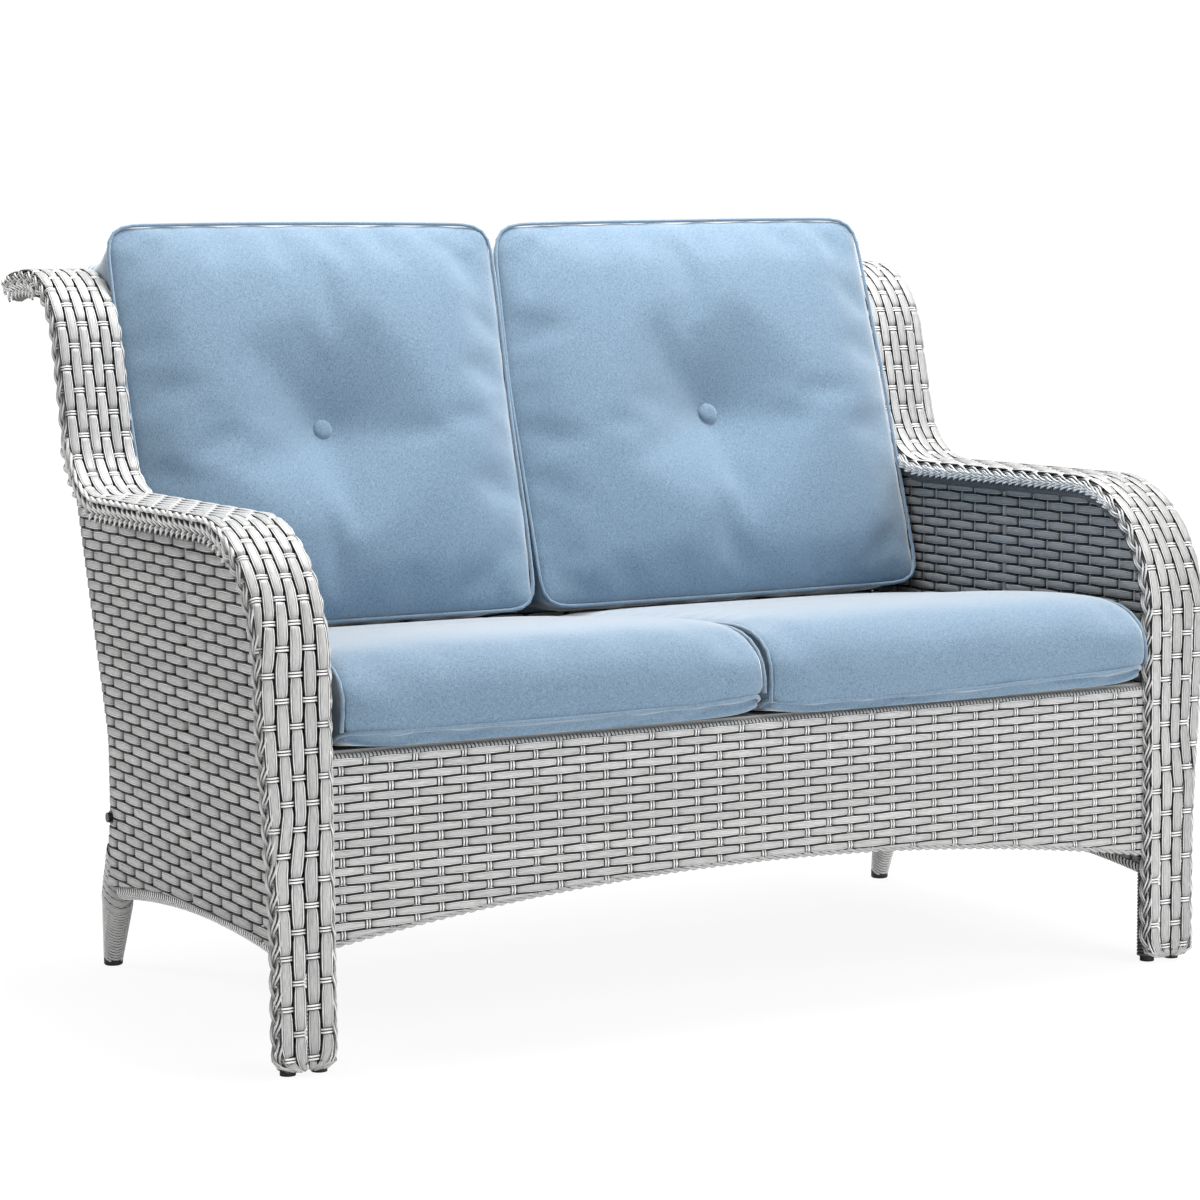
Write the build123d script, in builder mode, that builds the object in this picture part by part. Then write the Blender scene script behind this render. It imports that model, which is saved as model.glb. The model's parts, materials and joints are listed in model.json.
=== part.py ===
"""Patio loveseat: a steel tube frame dressed in flat resin wicker, with four loose cushions.

Millimetres. X runs across the seat, the front faces -Y, Z is up and the floor is Z = 0.
The arm band is one bent strip: up the front leg, round the front of the arm, back along the
arm, up the wing and over into a scroll. Points on it are (depth, height) pairs in the YZ plane.
"""

import math
import os

from build123d import *

os.makedirs("parts", exist_ok=True)

# Clearances and overruns
overrun = 60
fit = 0.2
rest_gap = 0.3
touch = 0.1
sway_gap = 0.6
deck_gap = 1
cushion_gap = 0.5
cushion_side_gap = 2.5

# Width of the seat frame, from which every place across the seat follows
seat_half_width = 576

# Arm band: the woven strip over two bent rails
band_front_y = -438
band_width = 87
band_foot_width = 73.5
band_inner_x = seat_half_width + deck_gap
band_outer_x = band_inner_x + band_width
band_foot_x = band_inner_x + band_foot_width
band_depth = 32
band_top_skin = 7
band_round = 10
arm_height = 632
front_radius = 172
corner_y = 103.5
corner_radius = 100
wing_angle = 76
wing_straight = 115.6
crest_radius = 128
scroll_radius = 450
scroll_angle = 12.6
leg_straight = 140
leg_section_count = 4

# Tubes
tube_radius = 9.5
tube_wall = 1.5
wrap_radius = 12.5
rail_inset = 19.5
inner_rail_inset = 14.5
outer_rail_inset = 20
inner_rail_x = band_inner_x + inner_rail_inset
outer_rail_x = band_outer_x - outer_rail_inset
outer_rail_foot_x = band_foot_x - outer_rail_inset
rung_height_on_leg = 90
rung_width = 16
rung_thickness = 4

# Front plugs, scroll plugs and rear feet
plug_height = 8
plug_radius = 9.4
spigot_length = 14
scroll_plug_thickness = 3
scroll_plug_radius = 11.5
foot_radius = 12.5
foot_height = 12

# Side panel: two woven skins over the rear post, an upright and a seat bar
panel_inset = 26
panel_x = band_inner_x + panel_inset
panel_half = 18
skin = 5
rear_foot_y = 247
knee_y = 194.6
knee_low_z = 205
knee_high_z = 312
post_top_y = 387
post_bend_radius = 120
edge_start_z = 114
upright_y = -94
side_rail_radius = 10
side_rail_front_z = 120
side_rail_crown_y = -120
side_rail_crown_z = 136
side_rail_rear_y = 199
side_rail_rear_z = 107
leg_wrap_top_z = 114
leg_wrap_top_radius = 22
leg_wrap_foot_radius = 12.4

# Front apron
apron_y = -428
apron_skin = 4
apron_top_z = 363
apron_end_z = 144
apron_arch_z = 192
arch_rail_radius = 8

# Seat: frame, slats and woven deck, all in a plane that falls to the rear
seat_tilt = 3
seat_front_z = 372
seat_origin_y = -455
deck_front = 34
deck_thickness = 3.5
seat_tube_radius = 12.5
cross_bar_x = 285
seat_bolt_depths = (110, 520)
bolt_radius = 4
bolt_head_radius = 6.5
bolt_head_height = 4.5
spacer_radius = 11

# Back: frame between the side panels and two woven skins
back_half_width = panel_x - panel_half - rest_gap
back_upright_inset = 13.7
back_upright_x = back_half_width - back_upright_inset
back_top_drop = 21.6
back_bottom_z = 138
back_bolt_y = 189.5
back_bolt_z = 208
washer_radius = 8.5
washer_thickness = 1.8

# Cushions
seat_cushion_inner_x = 3
seat_cushion_outer_x = seat_half_width - cushion_side_gap
seat_rear_reach = 1.5
seat_cushion_length = (
    knee_y - panel_half + seat_rear_reach - seat_origin_y
) / math.cos(math.radians(seat_tilt))
seat_cushion_rear_height = 98
seat_front_round = 74
seat_front_low = 16
seat_shoulder_drop = 8
seat_crown_share = 0.42
seat_brow_shares = (0.24, 0.36)
# left and right back cushions: the pair is pushed a little to the left in the photograph
back_cushion_left_end = -29
back_cushion_right_start = -15
back_cushion_ends = {
    "l": (-seat_cushion_outer_x, back_cushion_left_end),
    "r": (back_cushion_right_start, seat_cushion_outer_x),
}
back_cushion_low_z = 438.5
back_cushion_height = 530
back_cushion_bottom_drop = -17
back_cushion_bottom_depth = 96
back_cushion_top_depth = 106
back_top_arch = 6
back_belly_share = 0.47
back_belly_low_share = 0.25
button_radius = 14.5
button_height = 9
tuft_depth = 34
tuft_radius = 95
tuft_height = 258
rear_tuft_depth = 11
rear_tuft_radius = 42
tuft_flare_shares = (0.30, 0.62)


def polar(centre, radius, angle):
    """Point (y, z) on a circle."""
    a = math.radians(angle)
    return (centre[0] + radius * math.cos(a), centre[1] + radius * math.sin(a))


def band_curve(inset):
    """Points (y, z) of the band's side view, this deep under its show face, in travel order."""
    tilt = 90 - wing_angle
    front = (band_front_y + front_radius, arm_height - front_radius)
    corner = (corner_y, arm_height + corner_radius)
    wing_low = polar(corner, corner_radius, -tilt)
    wing_high = polar(wing_low, wing_straight, wing_angle)
    crest = polar(wing_high, crest_radius, -tilt)
    scroll = (crest[0], crest[1] + crest_radius - scroll_radius)
    slope = polar((0, 0), inset, -tilt)
    return {
        "leg": (band_front_y + inset, front[1]),
        "front_mid": polar(front, front_radius - inset, 135),
        "arm_front": polar(front, front_radius - inset, 90),
        "arm_rear": (corner_y, arm_height - inset),
        "corner_mid": polar(corner, corner_radius + inset, -90 + wing_angle / 2),
        "wing_low": (wing_low[0] + slope[0], wing_low[1] + slope[1]),
        "wing_high": (wing_high[0] + slope[0], wing_high[1] + slope[1]),
        "crest_mid": polar(crest, crest_radius - inset, 180 - tilt - wing_angle / 2),
        "crest": polar(crest, crest_radius - inset, 90),
        "scroll_mid": polar(scroll, scroll_radius - inset, 90 - scroll_angle / 2),
        "tail": polar(scroll, scroll_radius - inset, 90 - scroll_angle),
        "scroll_centre": scroll,
    }


def band_path(x, inset):
    """Wire over the arm, wing and scroll at one X, from the top of the straight leg."""
    p = {name: (x, *point) for name, point in band_curve(inset).items()}
    with BuildLine() as path:
        ThreePointArc(p["leg"], p["front_mid"], p["arm_front"])
        Line(p["arm_front"], p["arm_rear"])
        ThreePointArc(p["arm_rear"], p["corner_mid"], p["wing_low"])
        Line(p["wing_low"], p["wing_high"])
        ThreePointArc(p["wing_high"], p["crest_mid"], p["crest"])
        ThreePointArc(p["crest"], p["scroll_mid"], p["tail"])
    return path.wire()


def rail_path(foot_x, arm_x):
    """Wire of a whole rail: straight foot, gentle sway outward, then over the arm."""
    y, leg_top = band_curve(rail_inset)["leg"]
    middle = ((foot_x + arm_x) / 2, y, (leg_straight + leg_top) / 2)
    with BuildLine() as path:
        foot = Line((foot_x, y, plug_height), (foot_x, y, leg_straight))
        if foot_x == arm_x:
            Line(foot @ 1, (arm_x, y, leg_top))
        else:
            low_bend = TangentArc(foot @ 1, middle, tangent=foot % 1)
            TangentArc(middle, (arm_x, y, leg_top), tangent=low_bend % 1)
        add(band_path(arm_x, rail_inset))
    return path.wire()


def sway(height):
    """Outer edge X of the band at this height: it leans out on one arc and back on another."""
    rise = arm_height - front_radius - leg_straight
    reach = band_outer_x - band_foot_x
    radius = (rise**2 + reach**2) / (4 * reach)
    below = min(max(height - leg_straight, 0), rise / 2)
    above = min(max(arm_height - front_radius - height, 0), rise / 2)
    if below < rise / 2:
        return band_foot_x + radius - math.sqrt(radius**2 - below**2)
    return band_outer_x - radius + math.sqrt(radius**2 - above**2)


def band_section(outer_x):
    """Cross-section of the band seen along the leg, rounded on its show face."""
    with BuildSketch() as section:
        with Locations(((band_inner_x + outer_x) / 2, band_front_y + band_depth / 2)):
            Rectangle(outer_x - band_inner_x, band_depth)
        fillet(section.vertices().group_by(Axis.Y)[0], band_round)
    return section.sketch


def hollow_section(outer_x):
    """The open channel inside the band, where the wrapped rails lie."""
    low_x = inner_rail_x - wrap_radius - touch
    high_x = outer_x - (band_outer_x - outer_rail_x) + wrap_radius + sway_gap
    depth = band_depth - band_top_skin + touch + overrun
    with BuildSketch() as section:
        top = band_front_y + band_top_skin - touch
        with Locations(((low_x + high_x) / 2, top + depth / 2)):
            Rectangle(high_x - low_x, depth)
    return section.sketch


def short_hollow_section(outer_x):
    """The same channel, ending at the band's hidden face, for the curved part."""
    low_x = inner_rail_x - wrap_radius - touch
    high_x = outer_x - (band_outer_x - outer_rail_x) + wrap_radius + touch
    depth = band_depth - band_top_skin + touch + fit
    with BuildSketch() as section:
        top = band_front_y + band_top_skin - touch
        with Locations(((low_x + high_x) / 2, top + depth / 2)):
            Rectangle(high_x - low_x, depth)
    return section.sketch


def shifted(points, distance):
    """A polyline moved sideways towards the front, corners mitred."""
    moved = []
    for i, point in enumerate(points):
        before = points[max(i - 1, 0)]
        after = points[min(i + 1, len(points) - 1)]
        into = math.atan2(point[1] - before[1], point[0] - before[0])
        out = math.atan2(after[1] - point[1], after[0] - point[0])
        into = out if i == 0 else into
        out = into if i == len(points) - 1 else out
        reach = distance / math.cos((out - into) / 2)
        normal = (into + out) / 2 + math.pi / 2
        moved.append((point[0] + reach * math.cos(normal), point[1] + reach * math.sin(normal)))
    return moved


def underside(y):
    """Height of the scroll's hidden face at this Y."""
    centre = band_curve(band_depth)["scroll_centre"]
    radius = scroll_radius - band_depth
    return centre[1] + math.sqrt(radius**2 - (y - centre[0]) ** 2)


post_top = (post_top_y, underside(post_top_y))
back_top_z = post_top[1] - back_top_drop
knee_low = (knee_y, knee_low_z)
knee_high = (knee_y, knee_high_z)
foot_top = (rear_foot_y, foot_height)
recline = math.degrees(
    math.atan2(post_top[0] - knee_high[0], post_top[1] - knee_high[1])
)


def post_at(height):
    """Point (y, z) of the rear post's axis, before its bends are rounded."""
    if height < knee_low_z:
        share = (knee_low_z - height) / (knee_low_z - foot_height)
        return (knee_y + share * (rear_foot_y - knee_y), height)
    if height < knee_high_z:
        return (knee_y, height)
    share = (height - knee_high_z) / (post_top[1] - knee_high_z)
    return (knee_y + share * (post_top_y - knee_y), height)


def post_points(low, high):
    """Corner points (y, z) of the rear post's axis between two heights."""
    return [post_at(low), knee_low, knee_high, post_at(high)]


def post_path(x, low, high):
    """Bent axis of the rear post or of a back upright at one X."""
    points = [(x, *p) for p in post_points(low, high)]
    with BuildLine() as path:
        FilletPolyline(*points, radius=post_bend_radius)
    return path.wire()


def tube(path, radius, bore=0):
    """Round tube along a wire, or a solid rod where there is no bore."""
    with BuildPart() as result:
        with BuildSketch(Plane(origin=path @ 0, z_dir=path % 0)):
            Circle(radius)
            if bore:
                Circle(bore, mode=Mode.SUBTRACT)
        sweep(path=path)
    return result.part


def bar(start, end, radius):
    """Straight round bar between two points, used as a tube blank or as a cutter."""
    axis = Vector(*end) - Vector(*start)
    with BuildPart() as result:
        with BuildSketch(Plane(origin=start, z_dir=axis)):
            Circle(radius)
        extrude(amount=axis.length)
    return result.part


pieces = {}

# Front leg, arm, wing and scroll, right side

inner_path = rail_path(inner_rail_x, inner_rail_x)
outer_path = rail_path(outer_rail_foot_x, outer_rail_x)

with BuildPart() as arm_rail_inner_r:
    add(tube(inner_path, tube_radius, tube_radius - tube_wall))
pieces["arm_rail_inner_r"] = arm_rail_inner_r

with BuildPart() as arm_rail_outer_r:
    add(tube(outer_path, tube_radius, tube_radius - tube_wall))
pieces["arm_rail_outer_r"] = arm_rail_outer_r

with BuildPart() as rail_wrap_inner_r:
    add(tube(inner_path, wrap_radius, tube_radius))
pieces["rail_wrap_inner_r"] = rail_wrap_inner_r

with BuildPart() as rail_wrap_outer_r:
    add(tube(outer_path, wrap_radius, tube_radius))
pieces["rail_wrap_outer_r"] = rail_wrap_outer_r

show = band_curve(0)
with BuildPart() as arm_band_r:
    with BuildSketch(Plane.XY.offset(plug_height)):
        add(band_section(band_foot_x))
    extrude(amount=leg_straight - plug_height)
    leg_rise = (show["leg"][1] - leg_straight) / leg_section_count
    for i in range(leg_section_count + 1):
        z = leg_straight + i * leg_rise
        with BuildSketch(Plane.XY.offset(z)):
            add(band_section(sway(z)))
    loft()
    with BuildSketch(Plane.XY.offset(show["leg"][1])):
        add(band_section(band_outer_x))
    sweep(path=band_path(band_inner_x, 0))
    with BuildSketch(Plane.XY.offset(plug_height)):
        add(hollow_section(band_foot_x))
    extrude(amount=leg_straight - plug_height, mode=Mode.SUBTRACT)
    for i in range(leg_section_count + 1):
        z = leg_straight + i * leg_rise
        with BuildSketch(Plane.XY.offset(z)):
            add(hollow_section(sway(z)))
    loft(mode=Mode.SUBTRACT)
    with BuildSketch(Plane.XY.offset(show["leg"][1])):
        add(short_hollow_section(band_outer_x))
    sweep(path=band_path(band_inner_x, band_top_skin - touch), mode=Mode.SUBTRACT)
pieces["arm_band_r"] = arm_band_r

rung_span = (inner_rail_x + wrap_radius, outer_rail_x - wrap_radius)
mid_curve = band_curve(rail_inset)
with BuildPart() as rail_rungs_r:
    arm_y = (mid_curve["arm_front"][0], mid_curve["arm_rear"][0])
    for y in arm_y:
        with Locations((sum(rung_span) / 2, y, arm_height - rail_inset)):
            Box(rung_span[1] - rung_span[0], rung_width, rung_thickness)
    wing_y = (mid_curve["wing_low"][0] + mid_curve["wing_high"][0]) / 2
    wing_z = (mid_curve["wing_low"][1] + mid_curve["wing_high"][1]) / 2
    with Locations(Location((sum(rung_span) / 2, wing_y, wing_z), (wing_angle, 0, 0))):
        Box(rung_span[1] - rung_span[0], rung_width, rung_thickness)
    foot_span = (rung_span[0], outer_rail_foot_x - wrap_radius)
    with Locations((sum(foot_span) / 2, mid_curve["leg"][0], rung_height_on_leg)):
        Box(foot_span[1] - foot_span[0], rung_thickness, rung_width)
pieces["rail_rungs_r"] = rail_rungs_r

# Side panel, right side

seat_down = math.radians(seat_tilt)
seat_along = (0, math.cos(seat_down), -math.sin(seat_down))
seat_up = (0, math.sin(seat_down), math.cos(seat_down))


def seat_point(x, along, above):
    """World point from seat coordinates: along runs back from the cushion front."""
    return (
        x,
        seat_origin_y + along * seat_along[1] + above * seat_up[1],
        seat_front_z + along * seat_along[2] + above * seat_up[2],
    )


def along_at(y, above):
    """Seat coordinate that lies at this Y."""
    return (y - seat_origin_y - above * seat_up[1]) / seat_along[1]


bar_drop = -deck_thickness - seat_tube_radius
band_rear_y = band_front_y + band_depth
bolt_lines = [
    (seat_point(seat_half_width - 3 * seat_tube_radius, a, bar_drop),
     seat_point(panel_x, a, bar_drop))
    for a in seat_bolt_depths
]
back_bolt_line = (
    (panel_x + panel_half, back_bolt_y, back_bolt_z),
    (back_upright_x, back_bolt_y, back_bolt_z),
)
edge_path = post_path(panel_x, edge_start_z, post_top[1] - rest_gap)

with BuildPart() as rear_post_r:
    add(tube(post_path(panel_x, 0, post_top[1]), tube_radius, tube_radius - tube_wall))
    with Locations((panel_x, rear_foot_y, 0)):
        Box(overrun, 2 * overrun, 2 * foot_height, mode=Mode.SUBTRACT)
    with Locations((panel_x, post_top_y, post_top[1] + overrun / 2 - 2 * rest_gap)):
        Box(overrun, overrun, overrun, mode=Mode.SUBTRACT)
    add(bar(back_bolt_line[0], (panel_x - panel_half, back_bolt_y, back_bolt_z),
            bolt_radius + fit), mode=Mode.SUBTRACT)
pieces["rear_post_r"] = rear_post_r

with BuildPart() as post_edge_wrap_r:
    with BuildSketch(Plane(origin=edge_path @ 0, x_dir=(1, 0, 0), z_dir=edge_path % 0)):
        Circle(panel_half)
        Circle(tube_radius, mode=Mode.SUBTRACT)
        with Locations((0, -panel_half)):
            Rectangle(2 * panel_half, 2 * panel_half, mode=Mode.SUBTRACT)
    sweep(path=edge_path)
pieces["post_edge_wrap_r"] = post_edge_wrap_r

with BuildPart() as side_rail_r:
    with BuildLine() as side_rail_path:
        ThreePointArc(
            (panel_x, band_rear_y + touch + rest_gap, side_rail_front_z),
            (panel_x, side_rail_crown_y, side_rail_crown_z),
            (panel_x, side_rail_rear_y, side_rail_rear_z),
        )
    rail_line = side_rail_path.wire()
    with BuildSketch(Plane(origin=rail_line @ 0, z_dir=rail_line % 0)):
        Circle(side_rail_radius)
        Circle(side_rail_radius / 2, mode=Mode.SUBTRACT)
    sweep(path=rail_line)
    add(bar((panel_x, *post_at(0)), (panel_x, *knee_low), leg_wrap_top_radius),
        mode=Mode.SUBTRACT)
pieces["side_rail_r"] = side_rail_r


def wrap_span():
    """Start and end of the leg wrap on the post's lower run."""
    return (panel_x, *post_at(foot_height)), (panel_x, *post_at(leg_wrap_top_z))


with BuildPart() as rear_leg_wrap_r:
    wrap_low, wrap_high = wrap_span()
    wrap_axis = Vector(*wrap_high) - Vector(*wrap_low)
    with BuildSketch(Plane(origin=wrap_low, z_dir=wrap_axis)):
        Circle(leg_wrap_foot_radius)
    with BuildSketch(Plane(origin=wrap_high, z_dir=wrap_axis)):
        Circle(leg_wrap_top_radius)
    loft()
    add(bar((panel_x, *post_at(0)), (panel_x, *knee_low), tube_radius), mode=Mode.SUBTRACT)
    with Locations((panel_x, rear_foot_y, 0)):
        Box(2 * overrun, 2 * overrun, 2 * foot_height, mode=Mode.SUBTRACT)
pieces["rear_leg_wrap_r"] = rear_leg_wrap_r

bar_start = seat_point(panel_x, along_at(band_rear_y + touch + rest_gap, bar_drop), bar_drop)
bar_end = seat_point(panel_x, along_at(knee_y, bar_drop), bar_drop)
with BuildPart() as side_seat_bar_r:
    add(bar(bar_start, bar_end, seat_tube_radius))
    add(bar(bar_start, bar_end, seat_tube_radius - tube_wall), mode=Mode.SUBTRACT)
    add(tube(post_path(panel_x, edge_start_z, back_top_z), tube_radius + touch),
        mode=Mode.SUBTRACT)
    for line in bolt_lines:
        add(bar(*line, bolt_radius + fit), mode=Mode.SUBTRACT)
pieces["side_seat_bar_r"] = side_seat_bar_r

arm_under = arm_height - band_depth
with BuildPart() as mid_upright_r:
    add(bar((panel_x, upright_y, side_rail_crown_z), (panel_x, upright_y, arm_under),
            tube_radius))
    add(bar((panel_x, upright_y, side_rail_crown_z), (panel_x, upright_y, arm_under),
            tube_radius - tube_wall), mode=Mode.SUBTRACT)
    add(bar(bar_start, bar_end, seat_tube_radius), mode=Mode.SUBTRACT)
    with BuildSketch(Plane(origin=rail_line @ 0, z_dir=rail_line % 0)):
        Circle(side_rail_radius)
    sweep(path=rail_line, mode=Mode.SUBTRACT)
pieces["mid_upright_r"] = mid_upright_r


def panel_outline(lift):
    """Closed side-panel outline under the band, in front of the post, above the side rail."""
    p = band_curve(band_depth)
    rear = post_points(edge_start_z, post_top[1])
    low_front = (band_rear_y, side_rail_front_z + lift)
    low_rear = (rear[0][0], rear[0][1])
    rail_rear = (side_rail_rear_y, side_rail_rear_z + lift)
    with BuildLine() as outline:
        Line(low_front, p["leg"])
        ThreePointArc(p["leg"], p["front_mid"], p["arm_front"])
        Line(p["arm_front"], p["arm_rear"])
        ThreePointArc(p["arm_rear"], p["corner_mid"], p["wing_low"])
        Line(p["wing_low"], p["wing_high"])
        ThreePointArc(p["wing_high"], p["crest_mid"], p["crest"])
        scroll_mid_y = (p["crest"][0] + post_top_y) / 2
        ThreePointArc(p["crest"], (scroll_mid_y, underside(scroll_mid_y)), post_top)
        FilletPolyline(*reversed(rear), radius=post_bend_radius)
        Line(low_rear, rail_rear)
        ThreePointArc(rail_rear, (side_rail_crown_y, side_rail_crown_z + lift), low_front)
    return outline.line


skin_lift = side_rail_radius
with BuildPart() as side_skin_outer_r:
    with BuildSketch(Plane.YZ.offset(panel_x + panel_half - skin)):
        add(panel_outline(skin_lift))
        make_face()
    extrude(amount=skin)
    add(bar(back_bolt_line[0], back_bolt_line[1], bolt_radius + fit), mode=Mode.SUBTRACT)
pieces["side_skin_outer_r"] = side_skin_outer_r

with BuildPart() as side_skin_inner_r:
    with BuildSketch(Plane.YZ.offset(panel_x - panel_half)):
        add(panel_outline(skin_lift))
        make_face()
    extrude(amount=skin)
    add(bar(back_bolt_line[0], back_bolt_line[1], bolt_radius + fit), mode=Mode.SUBTRACT)
    for line in bolt_lines:
        add(bar(*line, bolt_radius + fit), mode=Mode.SUBTRACT)
pieces["side_skin_inner_r"] = side_skin_inner_r

# Seat frame side rail, right side

front_rail_y = apron_y + apron_skin + seat_tube_radius
front_along = along_at(front_rail_y, bar_drop)
rear_along = seat_cushion_length - seat_tube_radius - 2 * rest_gap
side_rail_line_x = seat_half_width - seat_tube_radius

with BuildPart() as seat_side_rail_r:
    side_ends = (seat_point(side_rail_line_x, front_along, bar_drop),
                 seat_point(side_rail_line_x, rear_along, bar_drop))
    add(bar(*side_ends, seat_tube_radius))
    add(bar(*side_ends, seat_tube_radius - tube_wall), mode=Mode.SUBTRACT)
    for along in (front_along, rear_along):
        add(bar(seat_point(-back_half_width, along, bar_drop),
                seat_point(back_half_width, along, bar_drop), seat_tube_radius + touch),
            mode=Mode.SUBTRACT)
    for line in bolt_lines:
        add(bar(*line, bolt_radius + fit), mode=Mode.SUBTRACT)
pieces["seat_side_rail_r"] = seat_side_rail_r

# Back upright, right side

top_axis = post_at(back_top_z)
bottom_axis = post_at(back_bottom_z)
top_rail_ends = ((-back_half_width, *top_axis), (back_half_width, *top_axis))
bottom_rail_ends = ((-back_half_width, *bottom_axis), (back_half_width, *bottom_axis))

with BuildPart() as back_upright_r:
    add(tube(post_path(back_upright_x, back_bottom_z, back_top_z), tube_radius,
             tube_radius - tube_wall))
    for ends in (top_rail_ends, bottom_rail_ends):
        add(bar(*ends, tube_radius + touch), mode=Mode.SUBTRACT)
    add(bar(back_bolt_line[0], back_bolt_line[1], bolt_radius + fit), mode=Mode.SUBTRACT)
pieces["back_upright_r"] = back_upright_r

# The left side mirrors the right

mirrored = {}
for name, piece in pieces.items():
    with BuildPart() as copy:
        mirror(piece.part, about=Plane.YZ)
    mirrored[name[:-1] + "l"] = copy
pieces.update(mirrored)

# Plugs and feet

sides = (-1, 1)
with BuildPart() as front_plugs:
    rail_y = mid_curve["leg"][0]
    for side in sides:
        for x in (inner_rail_x, outer_rail_foot_x):
            with Locations((side * x, rail_y, 0)):
                Cylinder(plug_radius, plug_height, align=(Align.CENTER, Align.CENTER, Align.MIN))
            with Locations((side * x, rail_y, plug_height)):
                Cylinder(tube_radius - tube_wall - fit, spigot_length,
                         align=(Align.CENTER, Align.CENTER, Align.MIN))
pieces["front_plugs"] = front_plugs

with BuildPart() as scroll_plugs:
    for side in sides:
        for x in (inner_rail_x, outer_rail_x):
            tail = (side * x, *mid_curve["tail"])
            a = math.radians(scroll_angle)
            with BuildSketch(Plane(origin=tail, z_dir=(0, math.cos(a), -math.sin(a)))):
                Circle(scroll_plug_radius)
            extrude(amount=scroll_plug_thickness)
            with BuildSketch(Plane(origin=tail, z_dir=(0, math.cos(a), -math.sin(a)))):
                Circle(tube_radius - tube_wall - 2 * fit)
            extrude(amount=-spigot_length)
pieces["scroll_plugs"] = scroll_plugs

with BuildPart() as rear_feet:
    for side in sides:
        with Locations((side * panel_x, rear_foot_y, 0)):
            Cylinder(foot_radius, foot_height, align=(Align.CENTER, Align.CENTER, Align.MIN))
    fillet(rear_feet.faces().group_by(Axis.Z)[0].edges(), foot_height / 4)
pieces["rear_feet"] = rear_feet

# Apron


def arch(lift):
    """Arched lower edge of the apron between the front legs, in the XZ plane."""
    return (
        (-band_inner_x, apron_end_z + lift),
        (0, apron_arch_z + lift),
        (band_inner_x, apron_end_z + lift),
    )


with BuildPart() as apron_arch_rail:
    rail_back = apron_y + apron_skin + arch_rail_radius
    with BuildLine() as arch_path:
        ThreePointArc(*[(x, rail_back, z) for x, z in arch(arch_rail_radius)])
    arch_line = arch_path.wire()
    with BuildSketch(Plane(origin=arch_line @ 0, z_dir=arch_line % 0)):
        Circle(arch_rail_radius)
    sweep(path=arch_line)
    for side in sides:
        with Locations((side * (band_inner_x + overrun / 2), rail_back, apron_end_z)):
            Box(overrun, overrun, overrun, mode=Mode.SUBTRACT)
pieces["apron_arch_rail"] = apron_arch_rail

with BuildPart() as apron_skin_front:
    with BuildSketch(Plane.XZ.offset(-apron_y - apron_skin)):
        with BuildLine():
            points = arch(0)
            ThreePointArc(*points)
            Line(points[2], (band_inner_x, apron_top_z))
            Line((band_inner_x, apron_top_z), (-band_inner_x, apron_top_z))
            Line((-band_inner_x, apron_top_z), points[0])
        make_face()
    extrude(amount=apron_skin)
pieces["apron_skin"] = apron_skin_front

front_rail_ends = (seat_point(-band_inner_x, front_along, bar_drop),
                   seat_point(band_inner_x, front_along, bar_drop))
with BuildPart() as apron_top_rail:
    add(bar(*front_rail_ends, seat_tube_radius))
    add(bar(*front_rail_ends, seat_tube_radius - tube_wall), mode=Mode.SUBTRACT)
pieces["apron_top_rail"] = apron_top_rail

# Seat frame and deck

rear_rail_ends = (seat_point(-seat_half_width, rear_along, bar_drop),
                  seat_point(seat_half_width, rear_along, bar_drop))
with BuildPart() as seat_rear_rail:
    add(bar(*rear_rail_ends, seat_tube_radius))
    add(bar(*rear_rail_ends, seat_tube_radius - tube_wall), mode=Mode.SUBTRACT)
pieces["seat_rear_rail"] = seat_rear_rail

with BuildPart() as seat_cross_bars:
    for x in (-cross_bar_x, 0, cross_bar_x):
        ends = (seat_point(x, front_along, bar_drop), seat_point(x, rear_along, bar_drop))
        add(bar(*ends, seat_tube_radius))
        add(bar(*ends, seat_tube_radius - tube_wall), mode=Mode.SUBTRACT)
    for ends in (front_rail_ends, rear_rail_ends):
        add(bar(*ends, seat_tube_radius + touch), mode=Mode.SUBTRACT)
pieces["seat_cross_bars"] = seat_cross_bars

deck_plane = Plane(origin=seat_point(0, 0, -deck_thickness), x_dir=(1, 0, 0), z_dir=seat_up)
with BuildPart() as seat_deck:
    deck_length = seat_cushion_length - deck_front
    with BuildSketch(deck_plane):
        with Locations((0, deck_front + deck_length / 2)):
            Rectangle(2 * seat_half_width, deck_length)
    extrude(amount=deck_thickness)
pieces["seat_deck"] = seat_deck

with BuildPart() as seat_spacers:
    for side in sides:
        for along in seat_bolt_depths:
            start = seat_point(side * seat_half_width, along, bar_drop)
            end = seat_point(side * (panel_x - panel_half), along, bar_drop)
            add(bar(start, end, spacer_radius))
            add(bar(start, end, bolt_radius + fit), mode=Mode.SUBTRACT)
pieces["seat_spacers"] = seat_spacers

with BuildPart() as seat_bolts:
    head_x = seat_half_width - 2 * seat_tube_radius
    for side in sides:
        for along in seat_bolt_depths:
            add(bar(seat_point(side * head_x, along, bar_drop),
                    seat_point(side * panel_x, along, bar_drop), bolt_radius))
            add(bar(seat_point(side * (head_x - bolt_head_height), along, bar_drop),
                    seat_point(side * head_x, along, bar_drop), bolt_head_radius))
pieces["seat_bolts"] = seat_bolts

# Back frame and skins

with BuildPart() as back_centre_upright:
    add(tube(post_path(0, back_bottom_z, back_top_z), tube_radius, tube_radius - tube_wall))
    for ends in (top_rail_ends, bottom_rail_ends):
        add(bar(*ends, tube_radius + touch), mode=Mode.SUBTRACT)
pieces["back_centre_upright"] = back_centre_upright

with BuildPart() as back_top_rail:
    add(bar(*top_rail_ends, tube_radius))
    add(bar(*top_rail_ends, tube_radius - tube_wall), mode=Mode.SUBTRACT)
pieces["back_top_rail"] = back_top_rail

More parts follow.
